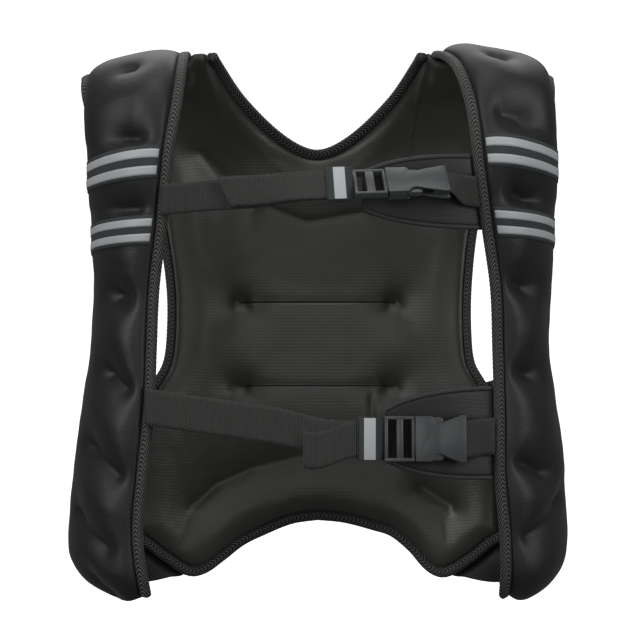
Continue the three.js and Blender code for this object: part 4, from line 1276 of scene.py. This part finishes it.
# %% Flaps and their bound edges
def flap_point(chest, u, v, lift):
    start, top, bottom, tip = chest["flap"]
    level = [HEM + share * FRONT_RUN for share in (top, bottom, tip)]
    spread = math.sqrt(1 - ((1 - FLAP_BLUNT) * (1 - u)) ** FLAP_POWER)
    z = mix(mix(level[2], level[1], spread), mix(level[2], level[0], spread), v)
    x = mix(start * HALF_WIDTH, strap_edge(1, z) + FLAP_UNDER, u)
    return chest_face(x, z, lift - FLAP_DROP * ease(.93, 1, u))


for name, chest in CHEST.items():
    mesh, place = new_grid(60, 40)

    def side_of(v, u, lift, chest=chest):
        edge = min(v, 1 - v) * 60
        soft = .5 * (1 - pad_rise(min(edge, u * u * 90 + .3), 4))
        return flap_point(chest, u * u, v, lift + (soft if lift < 1 else -soft))[0]

    close_slab(mesh, place, lambda v, u: side_of(v, u, FLAP_LIFT + FLAP_THICK),
               lambda v, u: side_of(v, u, FLAP_LIFT))
    flap = make_piece(f"{name}_flap_leaf", mesh, NEOPRENE, [f"{name}_flap"])

    round_edge = ([(u * u, 1) for u in steps(90, 1, 0)] + [(0, v) for v in steps(14, 1, 0)[1:-1]]
                  + [(u * u, 0) for u in steps(90)])
    frames = [flap_point(chest, u, v, 0) for u, v in round_edge]
    stations = rail([f[0] for f in frames], [f[1] for f in frames],
                    FLAP_BINDING / 2 - SEWN_OVER, FLAP_LIFT + FLAP_THICK / 2)
    mesh = tube(stations, FLAP_BINDING, FLAP_EDGE_THICK, 12, thread=.05)
    make_piece(f"{name}_flap_edge", mesh, BINDING_CLOTH, [f"{name}_flap_binding"])
print("flaps made")

# %% [markdown]
# ## Floor, light and camera
# The vest is shown as in a shop's picture: worn by nobody, in front of a plain pale ground,
# under soft light from large windows. The camera stands two metres off at the height of the
# middle of the vest, with a long lens.

# %% Floor, light and camera
GROUND_WIDTH, BEND_RADIUS, GROUND_SHIFT, GROUND_HEIGHT = 9, 1.7, .6, -.75


def make_ground():
    """A pale floor that curves up into a wall"""
    mesh = bmesh.new()
    bmesh.ops.create_grid(mesh, x_segments=2, y_segments=60, size=1)
    for vert in mesh.verts:
        s = vert.co.y
        x = vert.co.x * GROUND_WIDTH
        turn = min(1, max(0, (s - .1) / .3)) * math.pi / 2
        flat = min(s, .1) * GROUND_WIDTH
        up = max(0, s - .4) * GROUND_WIDTH
        vert.co = (x, flat + BEND_RADIUS * math.sin(turn) + GROUND_SHIFT,
                   GROUND_HEIGHT + BEND_RADIUS * (1 - math.cos(turn)) + up)
    data = bpy.data.meshes.new("ground")
    mesh.to_mesh(data)
    mesh.free()
    data.polygons.foreach_set("use_smooth", [True] * len(data.polygons))
    ground = bpy.data.objects.new("ground", data)
    bpy.context.scene.collection.objects.link(ground)
    material = bpy.data.materials.new("pale ground")
    material.use_nodes = True
    shader = material.node_tree.nodes["Principled BSDF"]
    shader.inputs["Base Color"].default_value = (.93, .93, .93, 1)
    shader.inputs["Roughness"].default_value = .9
    shader.inputs["Emission Color"].default_value = (1, 1, 1, 1)
    shader.inputs["Emission Strength"].default_value = .9
    data.materials.append(material)
    ground.visible_diffuse = ground.visible_glossy = False


LIGHTS = [
    # name, place, width and height in metres, power in watts
    ("left window", (-1.5, -1.3, .5), (.45, 1.6), 17),
    ("right window", (1.6, -1.2, .4), (.45, 1.6), 14),
    ("ceiling", (0, -.6, 1.7), (1.6, 1.2), 14),
    ("front fill", (0, -2.9, .3), (1.8, 1.4), 14),
    ("back light", (0, 1.2, 1.3), (2, 1), 14),
]
CENTRE = Vector((0, 0, -.2))
WORLD_STRENGTH = .13

make_ground()
for name, place, size, power in LIGHTS:
    light = bpy.data.lights.new(name, "AREA")
    light.shape, light.size, light.size_y = "RECTANGLE", size[0], size[1]
    light.energy = power
    lamp = bpy.data.objects.new(name, light)
    lamp.location = place
    lamp.rotation_euler = (CENTRE - Vector(place)).to_track_quat("-Z", "Y").to_euler()
    bpy.context.scene.collection.objects.link(lamp)
world = bpy.data.worlds.new("room")
world.use_nodes = True
world.node_tree.nodes["Background"].inputs["Color"].default_value = (1, 1, 1, 1)
world.node_tree.nodes["Background"].inputs["Strength"].default_value = WORLD_STRENGTH
bpy.context.scene.world = world
bpy.context.scene.view_settings.view_transform = "Standard"

PICTURE_WIDTH = 634
FOCAL_PIXELS = 2345.7
CAMERA_DISTANCE, CAMERA_HEIGHT = 2.012, -.205
camera_data = bpy.data.cameras.new("camera")
camera_data.sensor_fit = "HORIZONTAL"
camera_data.sensor_width = 36
camera_data.lens = camera_data.sensor_width * FOCAL_PIXELS / PICTURE_WIDTH
camera = bpy.data.objects.new("camera", camera_data)
camera.location = (0, -CAMERA_DISTANCE, CAMERA_HEIGHT)
camera.rotation_euler = (math.pi / 2, 0, 0)
bpy.context.scene.collection.objects.link(camera)
bpy.context.scene.camera = camera
print("lens:", round(camera_data.lens, 1), "mm")
